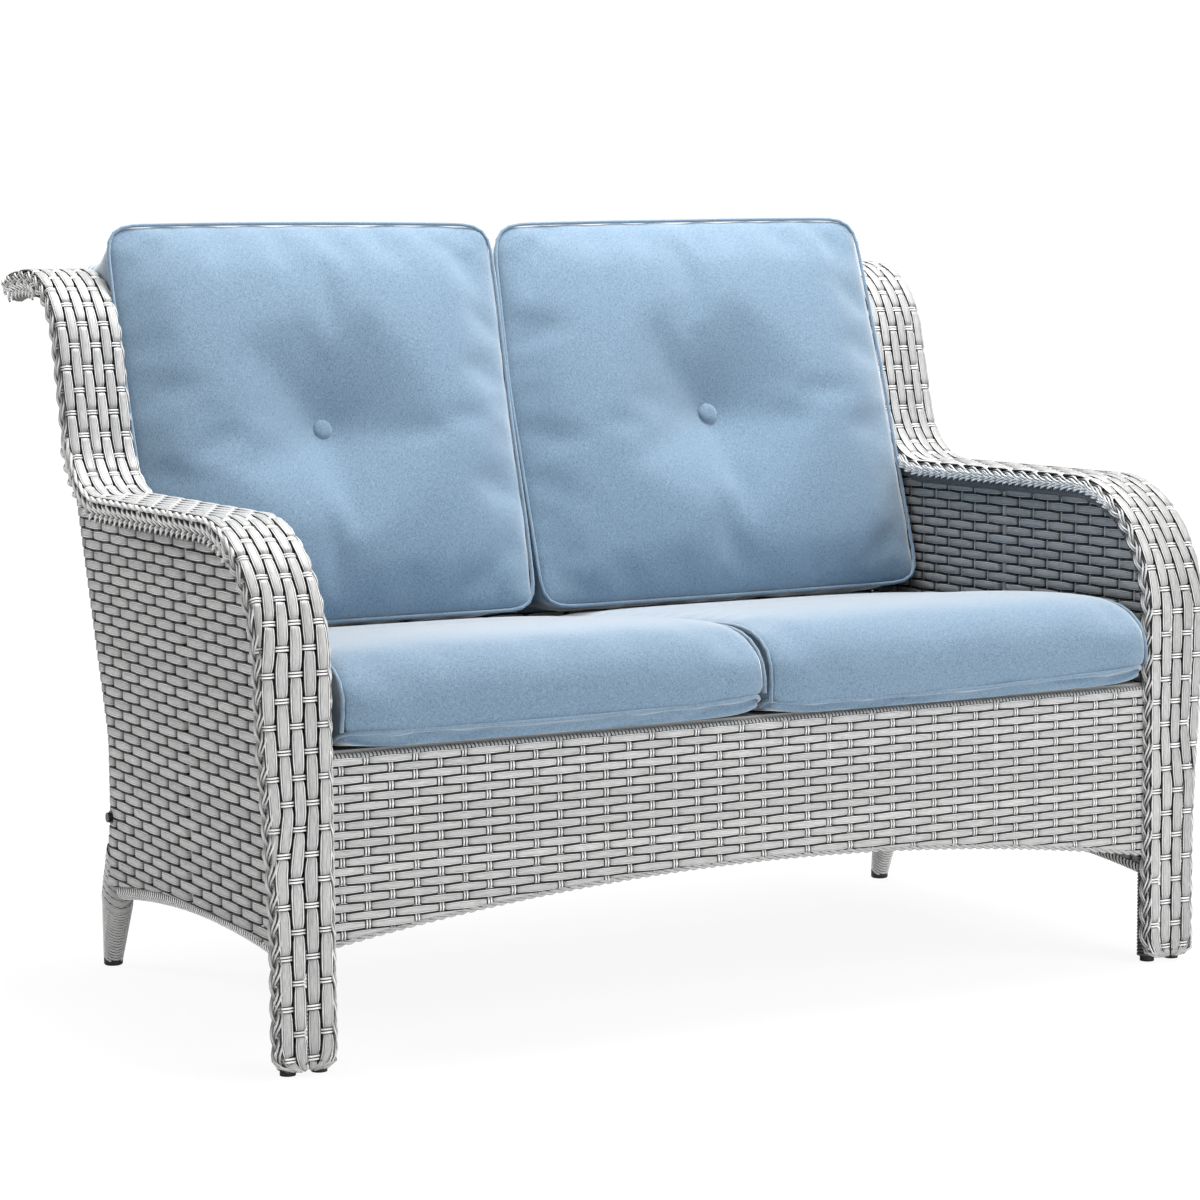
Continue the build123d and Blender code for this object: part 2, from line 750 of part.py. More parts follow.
with BuildPart() as back_bottom_rail:
    add(bar(*bottom_rail_ends, tube_radius))
    add(bar(*bottom_rail_ends, tube_radius - tube_wall), mode=Mode.SUBTRACT)
pieces["back_bottom_rail"] = back_bottom_rail


def edge_roll(axis, start_angle):
    """Half-round woven edge over a back rail, seen along X."""
    with BuildLine() as roll:
        CenterArc(axis, panel_half, start_angle, 180)
        CenterArc(axis, tube_radius, start_angle, 180)
        for angle in (start_angle, start_angle + 180):
            Line(polar(axis, tube_radius, angle), polar(axis, panel_half, angle))
    return roll.line


low_slope = math.degrees(
    math.atan2(rear_foot_y - knee_y, knee_low_z - foot_height)
)
with BuildPart() as back_top_wrap:
    with BuildSketch(Plane.YZ.offset(-back_half_width)):
        add(edge_roll(top_axis, -recline))
        make_face()
    extrude(amount=2 * back_half_width)
pieces["back_top_wrap"] = back_top_wrap

with BuildPart() as back_bottom_wrap:
    with BuildSketch(Plane.YZ.offset(-back_half_width)):
        add(edge_roll(bottom_axis, 180 + low_slope))
        make_face()
    extrude(amount=2 * back_half_width)
pieces["back_bottom_wrap"] = back_bottom_wrap


def skin_outline(near, far, points, radii):
    """Strip between two sideways shifts of the post line."""
    inner = shifted(points, near)
    outer = shifted(points, far)
    with BuildLine() as strip:
        FilletPolyline(*inner, radius=radii[0])
        FilletPolyline(*outer, radius=radii[1])
        Line(inner[0], outer[0])
        Line(inner[-1], outer[-1])
    return strip.line


inner_face = panel_half - skin
with BuildPart() as back_skin_rear:
    with BuildSketch(Plane.YZ.offset(-back_half_width)):
        rear_radii = (post_bend_radius - inner_face, post_bend_radius - panel_half)
        add(skin_outline(-inner_face, -panel_half, post_points(back_bottom_z, back_top_z),
                         rear_radii))
        make_face()
    extrude(amount=2 * back_half_width)
pieces["back_skin_rear"] = back_skin_rear

with BuildPart() as back_skin_front:
    with BuildSketch(Plane.YZ.offset(-back_half_width)):
        front_radii = (post_bend_radius + inner_face, post_bend_radius + panel_half)
        add(skin_outline(inner_face, panel_half, post_points(back_bottom_z, back_top_z),
                         front_radii))
        make_face()
    extrude(amount=2 * back_half_width)
pieces["back_skin_front"] = back_skin_front

with BuildPart() as back_bolt_washers:
    outside = panel_x + panel_half
    for side in sides:
        start = (side * outside, back_bolt_y, back_bolt_z)
        end = (side * (outside + washer_thickness), back_bolt_y, back_bolt_z)
        add(bar(start, end, washer_radius))
        add(bar(start, end, bolt_radius + fit), mode=Mode.SUBTRACT)
pieces["back_bolt_washers"] = back_bolt_washers

with BuildPart() as back_bolts:
    under_head = panel_x + panel_half + washer_thickness
    for side in sides:
        start = (side * back_upright_x, back_bolt_y, back_bolt_z)
        neck = (side * under_head, back_bolt_y, back_bolt_z)
        crown = (side * (under_head + bolt_head_height), back_bolt_y, back_bolt_z)
        add(bar(start, neck, bolt_radius))
        add(bar(neck, crown, bolt_head_radius))
pieces["back_bolts"] = back_bolts

# Seat cushions: lofted from one side to the other, crowned, with a rounded front

seat_x_shares = (0, 0.12, 0.5, 0.88, 1)
seat_crown_heights = (101, 113, 121, 113, 101)
seat_inset_lengths = (7, 1, 0, 1, 7)


def seat_profile(height, inset):
    """Side view of a seat cushion in seat coordinates, one slice."""
    low = rest_gap
    front = inset
    rear = seat_cushion_length - inset - rest_gap
    shoulder = height - seat_shoulder_drop
    brow_along = seat_front_round * seat_brow_shares[0]
    brow_drop = seat_front_round * seat_brow_shares[1]
    with BuildLine() as outline:
        Line((front + seat_front_low, low), (rear, low))
        Line((rear, low), (rear, seat_cushion_rear_height - inset))
        ThreePointArc(
            (rear, seat_cushion_rear_height - inset),
            (seat_cushion_length * seat_crown_share, height),
            (front + seat_front_round, shoulder),
        )
        ThreePointArc(
            (front + seat_front_round, shoulder),
            (front + brow_along, shoulder - brow_drop),
            (front, low + seat_front_low),
        )
        Line((front, low + seat_front_low), (front + seat_front_low, low))
    return outline.line


for side, name in ((-1, "seat_cushion_l"), (1, "seat_cushion_r")):
    with BuildPart() as seat_cushion:
        span = seat_cushion_outer_x - seat_cushion_inner_x
        for share, height, inset in zip(seat_x_shares, seat_crown_heights, seat_inset_lengths):
            x = side * (seat_cushion_inner_x + share * span)
            with BuildSketch(Plane(origin=seat_point(x, 0, 0), x_dir=seat_along, z_dir=(1, 0, 0))):
                add(seat_profile(height, inset))
                make_face()
        loft()
    pieces[name] = seat_cushion

# Back cushions: lofted the same way, tufted by one button through the middle

lean = math.radians(recline)
back_out = (0, -math.cos(lean), math.sin(lean))
back_up = (0, math.sin(lean), math.cos(lean))
skin_face_y = post_at(back_cushion_low_z)[0] - panel_half / math.cos(lean)
back_x_shares = (0, 0.14, 0.5, 0.86, 1)
back_bulges = (0, 20, 32, 20, 0)
back_top_drops = (9, 1, 0, 1, 9)


def back_point(x, out, up):
    """World point from back coordinates: out leaves the back, up follows its slope."""
    return (
        x,
        skin_face_y + out * back_out[1] + up * back_up[1],
        back_cushion_low_z + out * back_out[2] + up * back_up[2],
    )


def back_profile(bulge, drop):
    """Side view of a back cushion in back coordinates, one slice."""
    rear = cushion_gap
    top = back_cushion_height - drop
    low_front = (back_cushion_bottom_depth + bulge * back_belly_low_share, back_cushion_bottom_drop)
    high_front = (back_cushion_top_depth, top)
    middle = ((low_front[0] + high_front[0]) / 2 + bulge, top * back_belly_share)
    with BuildLine() as outline:
        Line((rear, 0), (rear, top))
        ThreePointArc((rear, top), (back_cushion_top_depth / 2, top + back_top_arch), high_front)
        ThreePointArc(high_front, middle, low_front)
        Line(low_front, (rear, 0))
    return outline.line


def tuft_cutter(x, depth, radius, face, outward):
    """Flared dimple that a button pulls into the cushion."""
    spread = radius - button_radius
    centre = back_point(x, face - outward * depth, tuft_height)
    axis = tuple(outward * value for value in back_out)
    with BuildPart() as cutter:
        with BuildSketch(Plane(origin=centre, x_dir=(1, 0, 0), z_dir=(0, *back_up[1:]))):
            with BuildLine():
                reach = overrun * outward
                Line((0, 0), (button_radius + fit, 0))
                ThreePointArc(
                    (button_radius + fit, 0),
                    (button_radius + spread * tuft_flare_shares[0],
                     -outward * depth * tuft_flare_shares[1]),
                    (radius, -outward * depth),
                )
                Line((radius, -outward * depth), (radius, -outward * depth - reach))
                Line((radius, -outward * depth - reach), (0, -outward * depth - reach))
                Line((0, -outward * depth - reach), (0, 0))
            make_face()
        revolve(axis=Axis(centre, axis))
    return cutter.part


def button(x, out, outward):
    """Domed covered button standing on the floor of its dimple."""
    axis = tuple(outward * value for value in back_out)
    with BuildPart() as disc:
        with BuildSketch(Plane(origin=back_point(x, out, tuft_height), z_dir=axis)):
            Circle(button_radius)
        extrude(amount=button_height)
        fillet(disc.faces().sort_by(Axis(back_point(x, out, tuft_height), axis))[-1].edges(),
               button_height / 2)
    return disc.part


for name, (low_x, high_x) in back_cushion_ends.items():
    middle_x = (low_x + high_x) / 2
    face = (back_cushion_bottom_depth + back_cushion_top_depth) / 2 + max(back_bulges)
    with BuildPart() as back_cushion:
        for share, bulge, drop in zip(back_x_shares, back_bulges, back_top_drops):
            x = low_x + share * (high_x - low_x)
            slice_plane = Plane(origin=back_point(x, 0, 0), x_dir=back_out, z_dir=(-1, 0, 0))
            with BuildSketch(slice_plane):
                add(back_profile(bulge, drop))
                make_face()
        loft()
        add(tuft_cutter(middle_x, tuft_depth, tuft_radius, face, 1), mode=Mode.SUBTRACT)
        add(tuft_cutter(middle_x, rear_tuft_depth, rear_tuft_radius, cushion_gap, -1),
            mode=Mode.SUBTRACT)
    pieces["back_cushion_" + name] = back_cushion
    with BuildPart() as buttons:
        add(button(middle_x, face - tuft_depth, 1))
        add(button(middle_x, cushion_gap + rear_tuft_depth, -1))
    pieces["back_buttons_" + name] = buttons

for name, piece in pieces.items():
    piece.part.label = name
    export_step(piece.part, "parts/" + name + ".step")
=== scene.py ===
"""Patio loveseat: the looks of the woven frame and its four cushions, in metres.

X runs along the seat, the front faces -Y and the floor is Z = 0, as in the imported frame.
"""

import json
import math

import bpy
import numpy as np
from mathutils import Matrix, Vector
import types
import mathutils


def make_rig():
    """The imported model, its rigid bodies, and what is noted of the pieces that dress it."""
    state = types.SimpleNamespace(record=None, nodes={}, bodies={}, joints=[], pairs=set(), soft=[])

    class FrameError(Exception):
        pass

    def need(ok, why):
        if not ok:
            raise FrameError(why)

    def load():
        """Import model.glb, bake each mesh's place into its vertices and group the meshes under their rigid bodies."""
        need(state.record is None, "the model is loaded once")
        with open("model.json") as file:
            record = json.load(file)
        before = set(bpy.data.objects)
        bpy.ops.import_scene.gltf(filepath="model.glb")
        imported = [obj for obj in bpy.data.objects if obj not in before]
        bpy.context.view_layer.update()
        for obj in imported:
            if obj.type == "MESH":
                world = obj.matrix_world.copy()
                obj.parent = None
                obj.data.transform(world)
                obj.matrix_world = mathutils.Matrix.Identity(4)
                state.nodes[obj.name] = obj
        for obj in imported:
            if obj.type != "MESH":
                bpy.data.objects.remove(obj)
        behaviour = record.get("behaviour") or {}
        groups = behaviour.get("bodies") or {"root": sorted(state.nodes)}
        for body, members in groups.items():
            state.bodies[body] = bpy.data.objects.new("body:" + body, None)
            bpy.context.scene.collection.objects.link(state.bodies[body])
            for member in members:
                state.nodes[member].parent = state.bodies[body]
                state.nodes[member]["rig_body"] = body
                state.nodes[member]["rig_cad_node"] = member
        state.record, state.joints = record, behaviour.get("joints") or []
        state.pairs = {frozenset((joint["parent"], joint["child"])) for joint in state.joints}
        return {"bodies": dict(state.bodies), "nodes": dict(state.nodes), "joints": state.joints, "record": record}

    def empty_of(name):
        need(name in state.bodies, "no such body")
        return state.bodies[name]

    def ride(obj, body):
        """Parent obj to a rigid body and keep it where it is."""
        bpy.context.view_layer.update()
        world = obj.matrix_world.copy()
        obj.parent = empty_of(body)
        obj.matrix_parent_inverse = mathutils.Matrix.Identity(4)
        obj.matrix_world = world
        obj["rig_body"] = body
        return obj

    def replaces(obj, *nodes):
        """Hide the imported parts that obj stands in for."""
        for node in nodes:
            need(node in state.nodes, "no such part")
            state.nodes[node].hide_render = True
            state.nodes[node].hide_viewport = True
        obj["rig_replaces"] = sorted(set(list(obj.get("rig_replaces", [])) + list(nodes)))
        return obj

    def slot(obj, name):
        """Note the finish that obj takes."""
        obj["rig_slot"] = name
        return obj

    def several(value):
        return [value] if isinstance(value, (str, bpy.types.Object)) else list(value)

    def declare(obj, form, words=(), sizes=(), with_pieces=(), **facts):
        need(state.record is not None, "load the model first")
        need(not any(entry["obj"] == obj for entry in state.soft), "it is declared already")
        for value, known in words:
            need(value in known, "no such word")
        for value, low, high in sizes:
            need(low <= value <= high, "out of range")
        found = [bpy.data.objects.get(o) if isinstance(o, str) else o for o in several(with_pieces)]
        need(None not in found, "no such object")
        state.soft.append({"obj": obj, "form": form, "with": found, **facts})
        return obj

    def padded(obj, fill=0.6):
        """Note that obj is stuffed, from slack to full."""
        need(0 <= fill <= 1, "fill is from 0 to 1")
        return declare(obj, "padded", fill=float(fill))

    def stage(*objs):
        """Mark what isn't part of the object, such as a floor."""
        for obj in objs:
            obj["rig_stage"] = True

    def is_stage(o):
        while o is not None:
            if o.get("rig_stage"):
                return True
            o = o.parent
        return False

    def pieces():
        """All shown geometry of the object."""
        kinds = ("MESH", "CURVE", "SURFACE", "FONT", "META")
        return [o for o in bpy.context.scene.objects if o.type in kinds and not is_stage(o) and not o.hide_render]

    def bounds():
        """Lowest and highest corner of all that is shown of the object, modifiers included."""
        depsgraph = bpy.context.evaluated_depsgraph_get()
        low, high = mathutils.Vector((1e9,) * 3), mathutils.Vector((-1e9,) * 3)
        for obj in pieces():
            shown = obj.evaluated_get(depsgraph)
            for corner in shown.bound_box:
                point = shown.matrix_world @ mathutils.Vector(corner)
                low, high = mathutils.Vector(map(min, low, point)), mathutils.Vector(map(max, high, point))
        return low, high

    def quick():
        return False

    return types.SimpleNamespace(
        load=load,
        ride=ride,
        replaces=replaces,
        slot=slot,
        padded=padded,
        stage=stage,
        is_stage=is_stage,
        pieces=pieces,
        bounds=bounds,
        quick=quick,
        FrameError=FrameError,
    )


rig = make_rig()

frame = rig.load()
cad_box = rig.bounds()

# Arm bands
# Each band is woven of extruded light grey resin over two bent rails, from the front foot over the
# arm and the wing to the scroll. Flats run along it, pairs of round strands cross it, and a plait
# closes each edge.

mm = 0.001
front_y, arm_z = -438 * mm, 632 * mm
inner_x, outer_x, foot_x = 577 * mm, 664 * mm, 650.5 * mm
leg_low_z, sway_low_z, leg_top_z = 8 * mm, 140 * mm, 460 * mm
arm_round, hollow_round, crest_round, scroll_round = 172 * mm, 100 * mm, 128 * mm, 450 * mm
hollow_y, wing_length = 103.5 * mm, 115.6 * mm
wing_tilt, scroll_turn = 14, 12.6
curve_step = 2 * mm
corner_round = 8 * mm


def arc(centre, radius, first, last):
    """Points (y, z) and outward directions on an arc, one every 2 mm or less."""
    steps = max(int(abs(math.radians(last - first)) * radius / curve_step), 2)
    a = np.radians(np.linspace(first, last, steps + 1))
    ray = np.stack([np.cos(a), np.sin(a)], 1)
    return np.array(centre) + radius * ray, ray


def straight(start, end, ray):
    """Points every 2 mm on a line, with one outward direction."""
    start, end = np.array(start), np.array(end)
    steps = max(int(np.linalg.norm(end - start) / curve_step), 2)
    share = np.linspace(0, 1, steps + 1)[:, None]
    return start + share * (end - start), np.tile(ray, (steps + 1, 1))


def band_side_view():
    """Show face of the band in side view: line, arc, line, hollow arc, line, crest and scroll."""
    round_c = (front_y + arm_round, leg_top_z)
    hollow_c = np.array((hollow_y, arm_z + hollow_round))
    tilt = math.radians(wing_tilt)
    normal = np.array((-math.cos(tilt), math.sin(tilt)))
    wing_low = hollow_c - hollow_round * normal
    wing_high = wing_low + wing_length * np.array((math.sin(tilt), math.cos(tilt)))
    crest_c = wing_high - crest_round * normal
    scroll_c = crest_c + np.array((0, crest_round - scroll_round))
    hollow, ray = arc(hollow_c, hollow_round, -90, -wing_tilt)
    runs = [
        straight((front_y, leg_low_z), (front_y, leg_top_z), (-1, 0)),
        arc(round_c, arm_round, 180, 90),
        straight((round_c[0], arm_z), (hollow_c[0], arm_z), (0, 1)),
        (hollow, -ray),
        straight(wing_low, wing_high, normal),
        arc(crest_c, crest_round, 180 - wing_tilt, 90),
        arc(scroll_c, scroll_round, 90, 90 - scroll_turn),
    ]
    points = np.concatenate([r[0][:-1] for r in runs] + [runs[-1][0][-1:]])
    rays = np.concatenate([r[1][:-1] for r in runs] + [runs[-1][1][-1:]])
    return points, rays


def lengths(line):
    """Length along a line up to each of its points."""
    return np.r_[0, np.cumsum(np.linalg.norm(np.diff(line, axis=0), axis=1))]


def unit(vectors):
    """Vectors scaled to length one."""
    return vectors / np.linalg.norm(vectors, axis=-1, keepdims=True)


side_points, side_rays = band_side_view()
side_length = lengths(side_points)
band_length = side_length[-1]
leg_length = leg_top_z - leg_low_z


def on_band(s):
    """Side-view point and outward direction at length s along the band."""
    point = np.stack([np.interp(s, side_length, side_points[:, i]) for i in (0, 1)], -1)
    ray = np.stack([np.interp(s, side_length, side_rays[:, i]) for i in (0, 1)], -1)
    return point, unit(ray)


def band_width(s):
    """Width of the band: it grows by a smooth step while the leg sways outward."""
    share = np.clip((s + leg_low_z - sway_low_z) / (leg_top_z - sway_low_z), 0, 1)
    return foot_x - inner_x + (outer_x - foot_x) * share**2 * (3 - 2 * share)


def in_space(x, side_view):
    """Points (x, y, z) of side-view points (y, z) at x."""
    x = np.broadcast_to(x, side_view.shape[:-1])
    return np.concatenate([x[..., None], side_view], -1)


def band_place(c, s, lift, side):
    """Point at unfolded distance c from the inner corner: up the side, round, across and down."""
    c, s, lift = np.broadcast_arrays(c, s, lift)
    quarter = math.pi * corner_round / 2
    flat = band_width(s) - 2 * corner_round
    first = np.clip(c, 0, quarter) / corner_round
    second = np.clip(c - quarter - flat, 0, quarter) / corner_round
    turn = first + second
    across = corner_round * (1 - np.cos(first)) + np.clip(c - quarter, 0, flat)
    across = across + corner_round * np.sin(second)
    below = np.minimum(c, 0) * -1 + np.maximum(c - 2 * quarter - flat, 0)
    deep = corner_round * (1 - np.sin(first)) + corner_round * (1 - np.cos(second)) + below
    point, ray = on_band(s)
    x = inner_x + across - lift * np.cos(turn)
    depth = deep - lift * np.sin(turn)
    line = in_space(side * x, point - ray * depth[..., None])
    return line, in_space(-side * np.cos(turn), ray * np.sin(turn)[..., None])


def lane_count(s):
    """Flats side by side: six on the arm, and the outermost two run out down the leg."""
    z = s + leg_low_z
    fifth = np.clip((z - 235 * mm) / (70 * mm), 0, 1)
    sixth = np.clip((z - 470 * mm) / (90 * mm), 0, 1)
    return 4 + fifth + sixth


foot_round = 30 * mm


def tuck(s):
    """How far the edges turn in at the foot, on a quarter circle."""
    rise = np.clip((foot_round - s) / foot_round, 0, 1)
    return 0.8 * foot_round * (1 - np.sqrt(1 - rise**2))


def margin(s):
    """Width of the open edge beside the outermost flats."""
    return np.interp(s, (0, 450 * mm), (8 * mm, 5 * mm)) + tuck(s)


def girth(s):
    """Unfolded width of the show face and the two rounded edges."""
    return band_width(s) + corner_round * (math.pi - 2)


# A strand is a small closed beam laid along a line. Its "strand" attribute keeps its own length and
# width for the grain and the painted rims. "lift" is its painted light and shade: 0 paints it dark as
# shade deep in the weave, 1 leaves its colour as it is on top, and more paints it paler as light.
flat_outline = np.array([(-1, -1), (-1, 0.1), (-0.84, 1), (0, 1.3), (0.84, 1), (1, 0.1), (1, -1)])
round_outline = np.array([(-math.cos(a), math.sin(a)) for a in np.arange(6) * math.pi / 3])
ridge_outline = np.array([(-1, -1), (-0.55, 1), (0.55, 1), (1, -1)])
grain_start = 9.0
random = np.random.default_rng(7)


def new_bag():
    """An empty store of strands."""
    return {"points": [], "quads": [], "caps": [], "grain": [], "lift": [], "count": 0}


def lay(bag, line, out, half_width, half_thick, outline=flat_outline, lift=1.0, closed=False,
        taper=1.0):
    """Adds a strand: outline corner (a, b) stands at line + a half_width side + b half_thick out.

    The colour's place across is a times the taper, so a taper over 1 draws the painted rim highlights
    and painted shade lines inwards. lift is the strand's painted light and shade.
    """
    line = np.asarray(line, float)
    out = np.broadcast_to(np.asarray(out, float), line.shape)
    step = (np.roll(line, -1, 0) - np.roll(line, 1, 0)) if closed else np.gradient(line, axis=0)
    ahead = unit(step)
    side = unit(np.cross(ahead, out))
    up = np.cross(side, ahead)
    count, corners = len(line), len(outline)
    wide = np.broadcast_to(half_width, (count,))[:, None, None] * outline[None, :, :1]
    thick = half_thick * outline[None, :, 1:]
    points = line[:, None] + wide * side[:, None] + thick * up[:, None]
    start = bag["count"]
    ring = start + corners * np.arange(count if closed else count - 1)[:, None]
    later = start + (ring - start + corners) % (corners * count)
    here = np.arange(corners)
    after = (here + 1) % corners
    quads = np.stack([ring + here, ring + after, later + after, later + here], -1)
    along = lengths(line) + random.random() * grain_start
    # How far across each outline the painted rims and painted side shade reach; over 1 puts a ridge's sides in painted
    # shade.
    painted_rim_reach = {len(flat_outline): 1.0, len(ridge_outline): 1.2}.get(corners, 0.6)
    grain = np.empty((count, corners, 3))
    grain[..., 0] = along[:, None]
    grain[..., 1] = outline[None, :, 0] * painted_rim_reach
    grain[..., 1] *= np.broadcast_to(taper, (count,))[:, None]
    grain[..., 2] = random.random()
    bag["points"].append(points.reshape(-1, 3))
    bag["grain"].append(grain.reshape(-1, 3))
    bag["lift"].append(np.repeat(np.broadcast_to(lift, (count,)), corners))
    bag["quads"].append(quads.reshape(-1, 4))
    if not closed:
        bag["caps"].append(start + here[::-1])
        bag["caps"].append(start + corners * (count - 1) + here)
    bag["count"] += count * corners


def surface(name, points, faces):
    """Mesh object from whole arrays: faces is a list of arrays, each with one corner count."""
    mesh = bpy.data.meshes.new(name)
    mesh.vertices.add(len(points))
    mesh.vertices.foreach_set("co", np.asarray(points, np.float32).ravel())
    corners = np.concatenate([f.ravel() for f in faces]).astype(np.int32)
    totals = np.concatenate([np.full(len(f), f.shape[1]) for f in faces])
    starts = np.r_[0, np.cumsum(totals)[:-1]].astype(np.int32)
    mesh.loops.add(len(corners))
    mesh.loops.foreach_set("vertex_index", corners)
    mesh.polygons.add(len(totals))
    mesh.polygons.foreach_set("loop_start", starts)
    mesh.update(calc_edges=True)
    mesh.validate()
    mesh.shade_smooth()
    piece = bpy.data.objects.new(name, mesh)
    bpy.context.scene.collection.objects.link(piece)
    return piece


def woven(name, bag, material, *nodes, body="frame", slot="resin_wicker"):
    """Makes one piece of all the strands in a bag, in place of the CAD nodes named."""
    caps = {}
    for cap in bag["caps"]:
        caps.setdefault(len(cap), []).append(cap)
    faces = [np.concatenate(bag["quads"])] + [np.array(c) for c in caps.values()]
    piece = surface(name, np.concatenate(bag["points"]), faces)
    strand = piece.data.attributes.new("strand", "FLOAT_VECTOR", "POINT")
    strand.data.foreach_set("vector", np.concatenate(bag["grain"]).astype(np.float32).ravel())
    lift = piece.data.attributes.new("lift", "FLOAT", "POINT")
    lift.data.foreach_set("value", np.concatenate(bag["lift"]).astype(np.float32))
    piece.data.materials.append(material)
    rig.ride(piece, body)
    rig.slot(piece, slot)
    if nodes:
        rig.replaces(piece, *nodes)
    return piece


dive_shares = (-0.16, -0.115, 0.115, 0.16, 0.5)
even_shares = (0, 0.5)


def extended(stations):
    """The stations with 60 more before and after, at the pitch of the nearest two."""
    more = 60
    before = stations[0] + (stations[1] - stations[0]) * np.arange(-more, 0)
    after = stations[-1] + (stations[-1] - stations[-2]) * np.arange(1, more + 1)
    return np.r_[before, stations, after]


def places_on(stations, low, high, shares=dive_shares):
    """Sample places between two ends: at these shares of the pitch beside every station."""
    longer = extended(stations)
    index = (np.arange(len(longer))[:, None] + np.array(shares)).ravel()
    places = np.interp(np.sort(index), np.arange(len(longer)), longer)
    margin = 0.08 * (stations[1] - stations[0])
    return np.r_[low, places[(places > low + margin) & (places < high - margin)], high]


def swing(places, stations, parity):
    """Cosine that is +1 or -1 in turn on the stations, which is over and under in the weave."""
    longer = extended(stations)
    return np.cos(math.pi * (np.interp(places, longer, np.arange(len(longer))) + parity))


def from_dive(places, stations, parity):
    """Distance to the nearest station that is passed under, in pitches from 0 to 1."""
    return 1 - np.arccos(np.clip(swing(places, stations, parity), -1, 1)) / math.pi


def lens(places, stations, parity):
    """Taper that draws a flat's painted rims and painted side shade inwards near its dives, so that
    it looks narrower there: 1 half way, 1.34 at a dive.
    """
    return 1 + 0.34 * (1 - from_dive(places, stations, parity)) ** 2


def bulge(places, stations, parity, foot=0.11, brow=0.16):
    """Level of a springy flat: -1 in a short notch where it dives, then even and rising to 1."""
    away = from_dive(places, stations, parity)
    return -1 + np.clip((away - foot) / (brow - foot), 0, 1) * (1.85 + 0.15 * away)


def feed(tree, made, inputs):
    """Gives each named input of a node a plain value, or links it to another node's output."""
    for key, value in inputs.items():
        if isinstance(value, bpy.types.NodeSocket):
            tree.links.new(value, made.inputs[key])
        else:
            made.inputs[key].default_value = value


def node(tree, kind, inputs=None, **settings):
    """New shader node with its settings and inputs."""
    made = tree.nodes.new(kind)
    for key, value in settings.items():
        setattr(made, key, value)
    feed(tree, made, inputs or {})
    return made


def maths(tree, operation, *values):
    """Math node on sockets or numbers; gives its output."""
    return node(tree, "ShaderNodeMath", dict(enumerate(values)), operation=operation).outputs[0]


def mixed(tree, amount, first, second, blend="MIX"):
    """Colour mix of two sockets or colours; gives its output."""
    inputs = {0: amount, 6: first, 7: second}
    return node(tree, "ShaderNodeMix", inputs, data_type="RGBA", blend_type=blend).outputs[2]


def bumped(tree, height, strength, distance):
    """Normal that follows a height; gives its output."""
    inputs = {"Height": height, "Strength": strength, "Distance": distance}
    return node(tree, "ShaderNodeBump", inputs).outputs[0]


def new_material(name):
    """New material with its node tree and its shader."""
    material = bpy.data.materials.new(name)
    material.use_nodes = True
    return material, material.node_tree, material.node_tree.nodes["Principled BSDF"]


def wicker_material(name, pale, deep, rough):
    """Grain is noise drawn out along the strand; rims are painted paler as highlight, and dives are
    painted darker than the face as shade.
    """
    material, tree, shader = new_material(name)
    strand = node(tree, "ShaderNodeAttribute", attribute_name="strand")
    lift = node(tree, "ShaderNodeAttribute", attribute_name="lift")
    along, across, tone = node(tree, "ShaderNodeSeparateXYZ", {0: strand.outputs["Vector"]}).outputs
    stretch = node(tree, "ShaderNodeCombineXYZ", {0: maths(tree, "MULTIPLY", along, 70.0),
                                                  1: maths(tree, "MULTIPLY", across, 8.0),
                                                  2: maths(tree, "MULTIPLY", tone, 90.0)})
    streaks = node(tree, "ShaderNodeTexNoise", {"Vector": stretch.outputs[0], "Scale": 1.0,
                                                "Detail": 4.0, "Roughness": 0.7}).outputs["Fac"]
    spread = node(tree, "ShaderNodeMapRange", {"Value": streaks, "From Min": 0.36, "From Max": 0.64})
    base = mixed(tree, spread.outputs[0], deep, pale)

    # From the middle of the strand outwards: face, a line of painted groove shade, a painted rim
    # highlight and painted shade on the side.
    rim = node(tree, "ShaderNodeValToRGB", {"Fac": maths(tree, "ABSOLUTE", across)})
    face, line, edge, painted_side_shade = 0.36, 0.09, 0.62, 0.01
    ramp = rim.color_ramp.elements
    ramp[0].color = (face, face, face, 1)
    ramp[1].color = (painted_side_shade, painted_side_shade, painted_side_shade, 1)
    for place, value in ((0.50, face), (0.58, line), (0.62, line), (0.67, edge), (0.76, edge),
                         (0.82, painted_side_shade)):
        ramp.new(place).color = (value, value, value, 1)
    shade = maths(tree, "ADD", maths(tree, "MULTIPLY", tone, 0.20), 0.90)
    shade = maths(tree, "MULTIPLY", shade, maths(tree, "MULTIPLY", rim.outputs["Color"], 3.35))
    # The lift attribute paints shade into the dives and light onto the strands that lie on top.
    raised = maths(tree, "ADD", maths(tree, "MULTIPLY", lift.outputs["Fac"], 0.98), 0.02)
    grain_and_painted_light = mixed(tree, 1.0, base, maths(tree, "MULTIPLY", shade, raised), "MULTIPLY")
    feed(tree, shader, {"Base Color": grain_and_painted_light, "Normal": bumped(tree, streaks, 0.4, 0.4 * mm),
                        "Roughness": rough})
    return material


wicker = wicker_material("resin_wicker", (0.46, 0.46, 0.455, 1), (0.26, 0.26, 0.257, 1), 0.45)

arm_start, arm_end = 630 * mm, 1200 * mm
flat_thick = 0.9 * mm
pair_pitch, pair_radius = 29.5 * mm, 1.3 * mm
pair_shifts = (-1.8 * mm, 1.8 * mm)
plait_pitch, plait_radius = 88 * mm, 1.4 * mm
cord_pitch, cord_radius = 46 * mm, 2.2 * mm


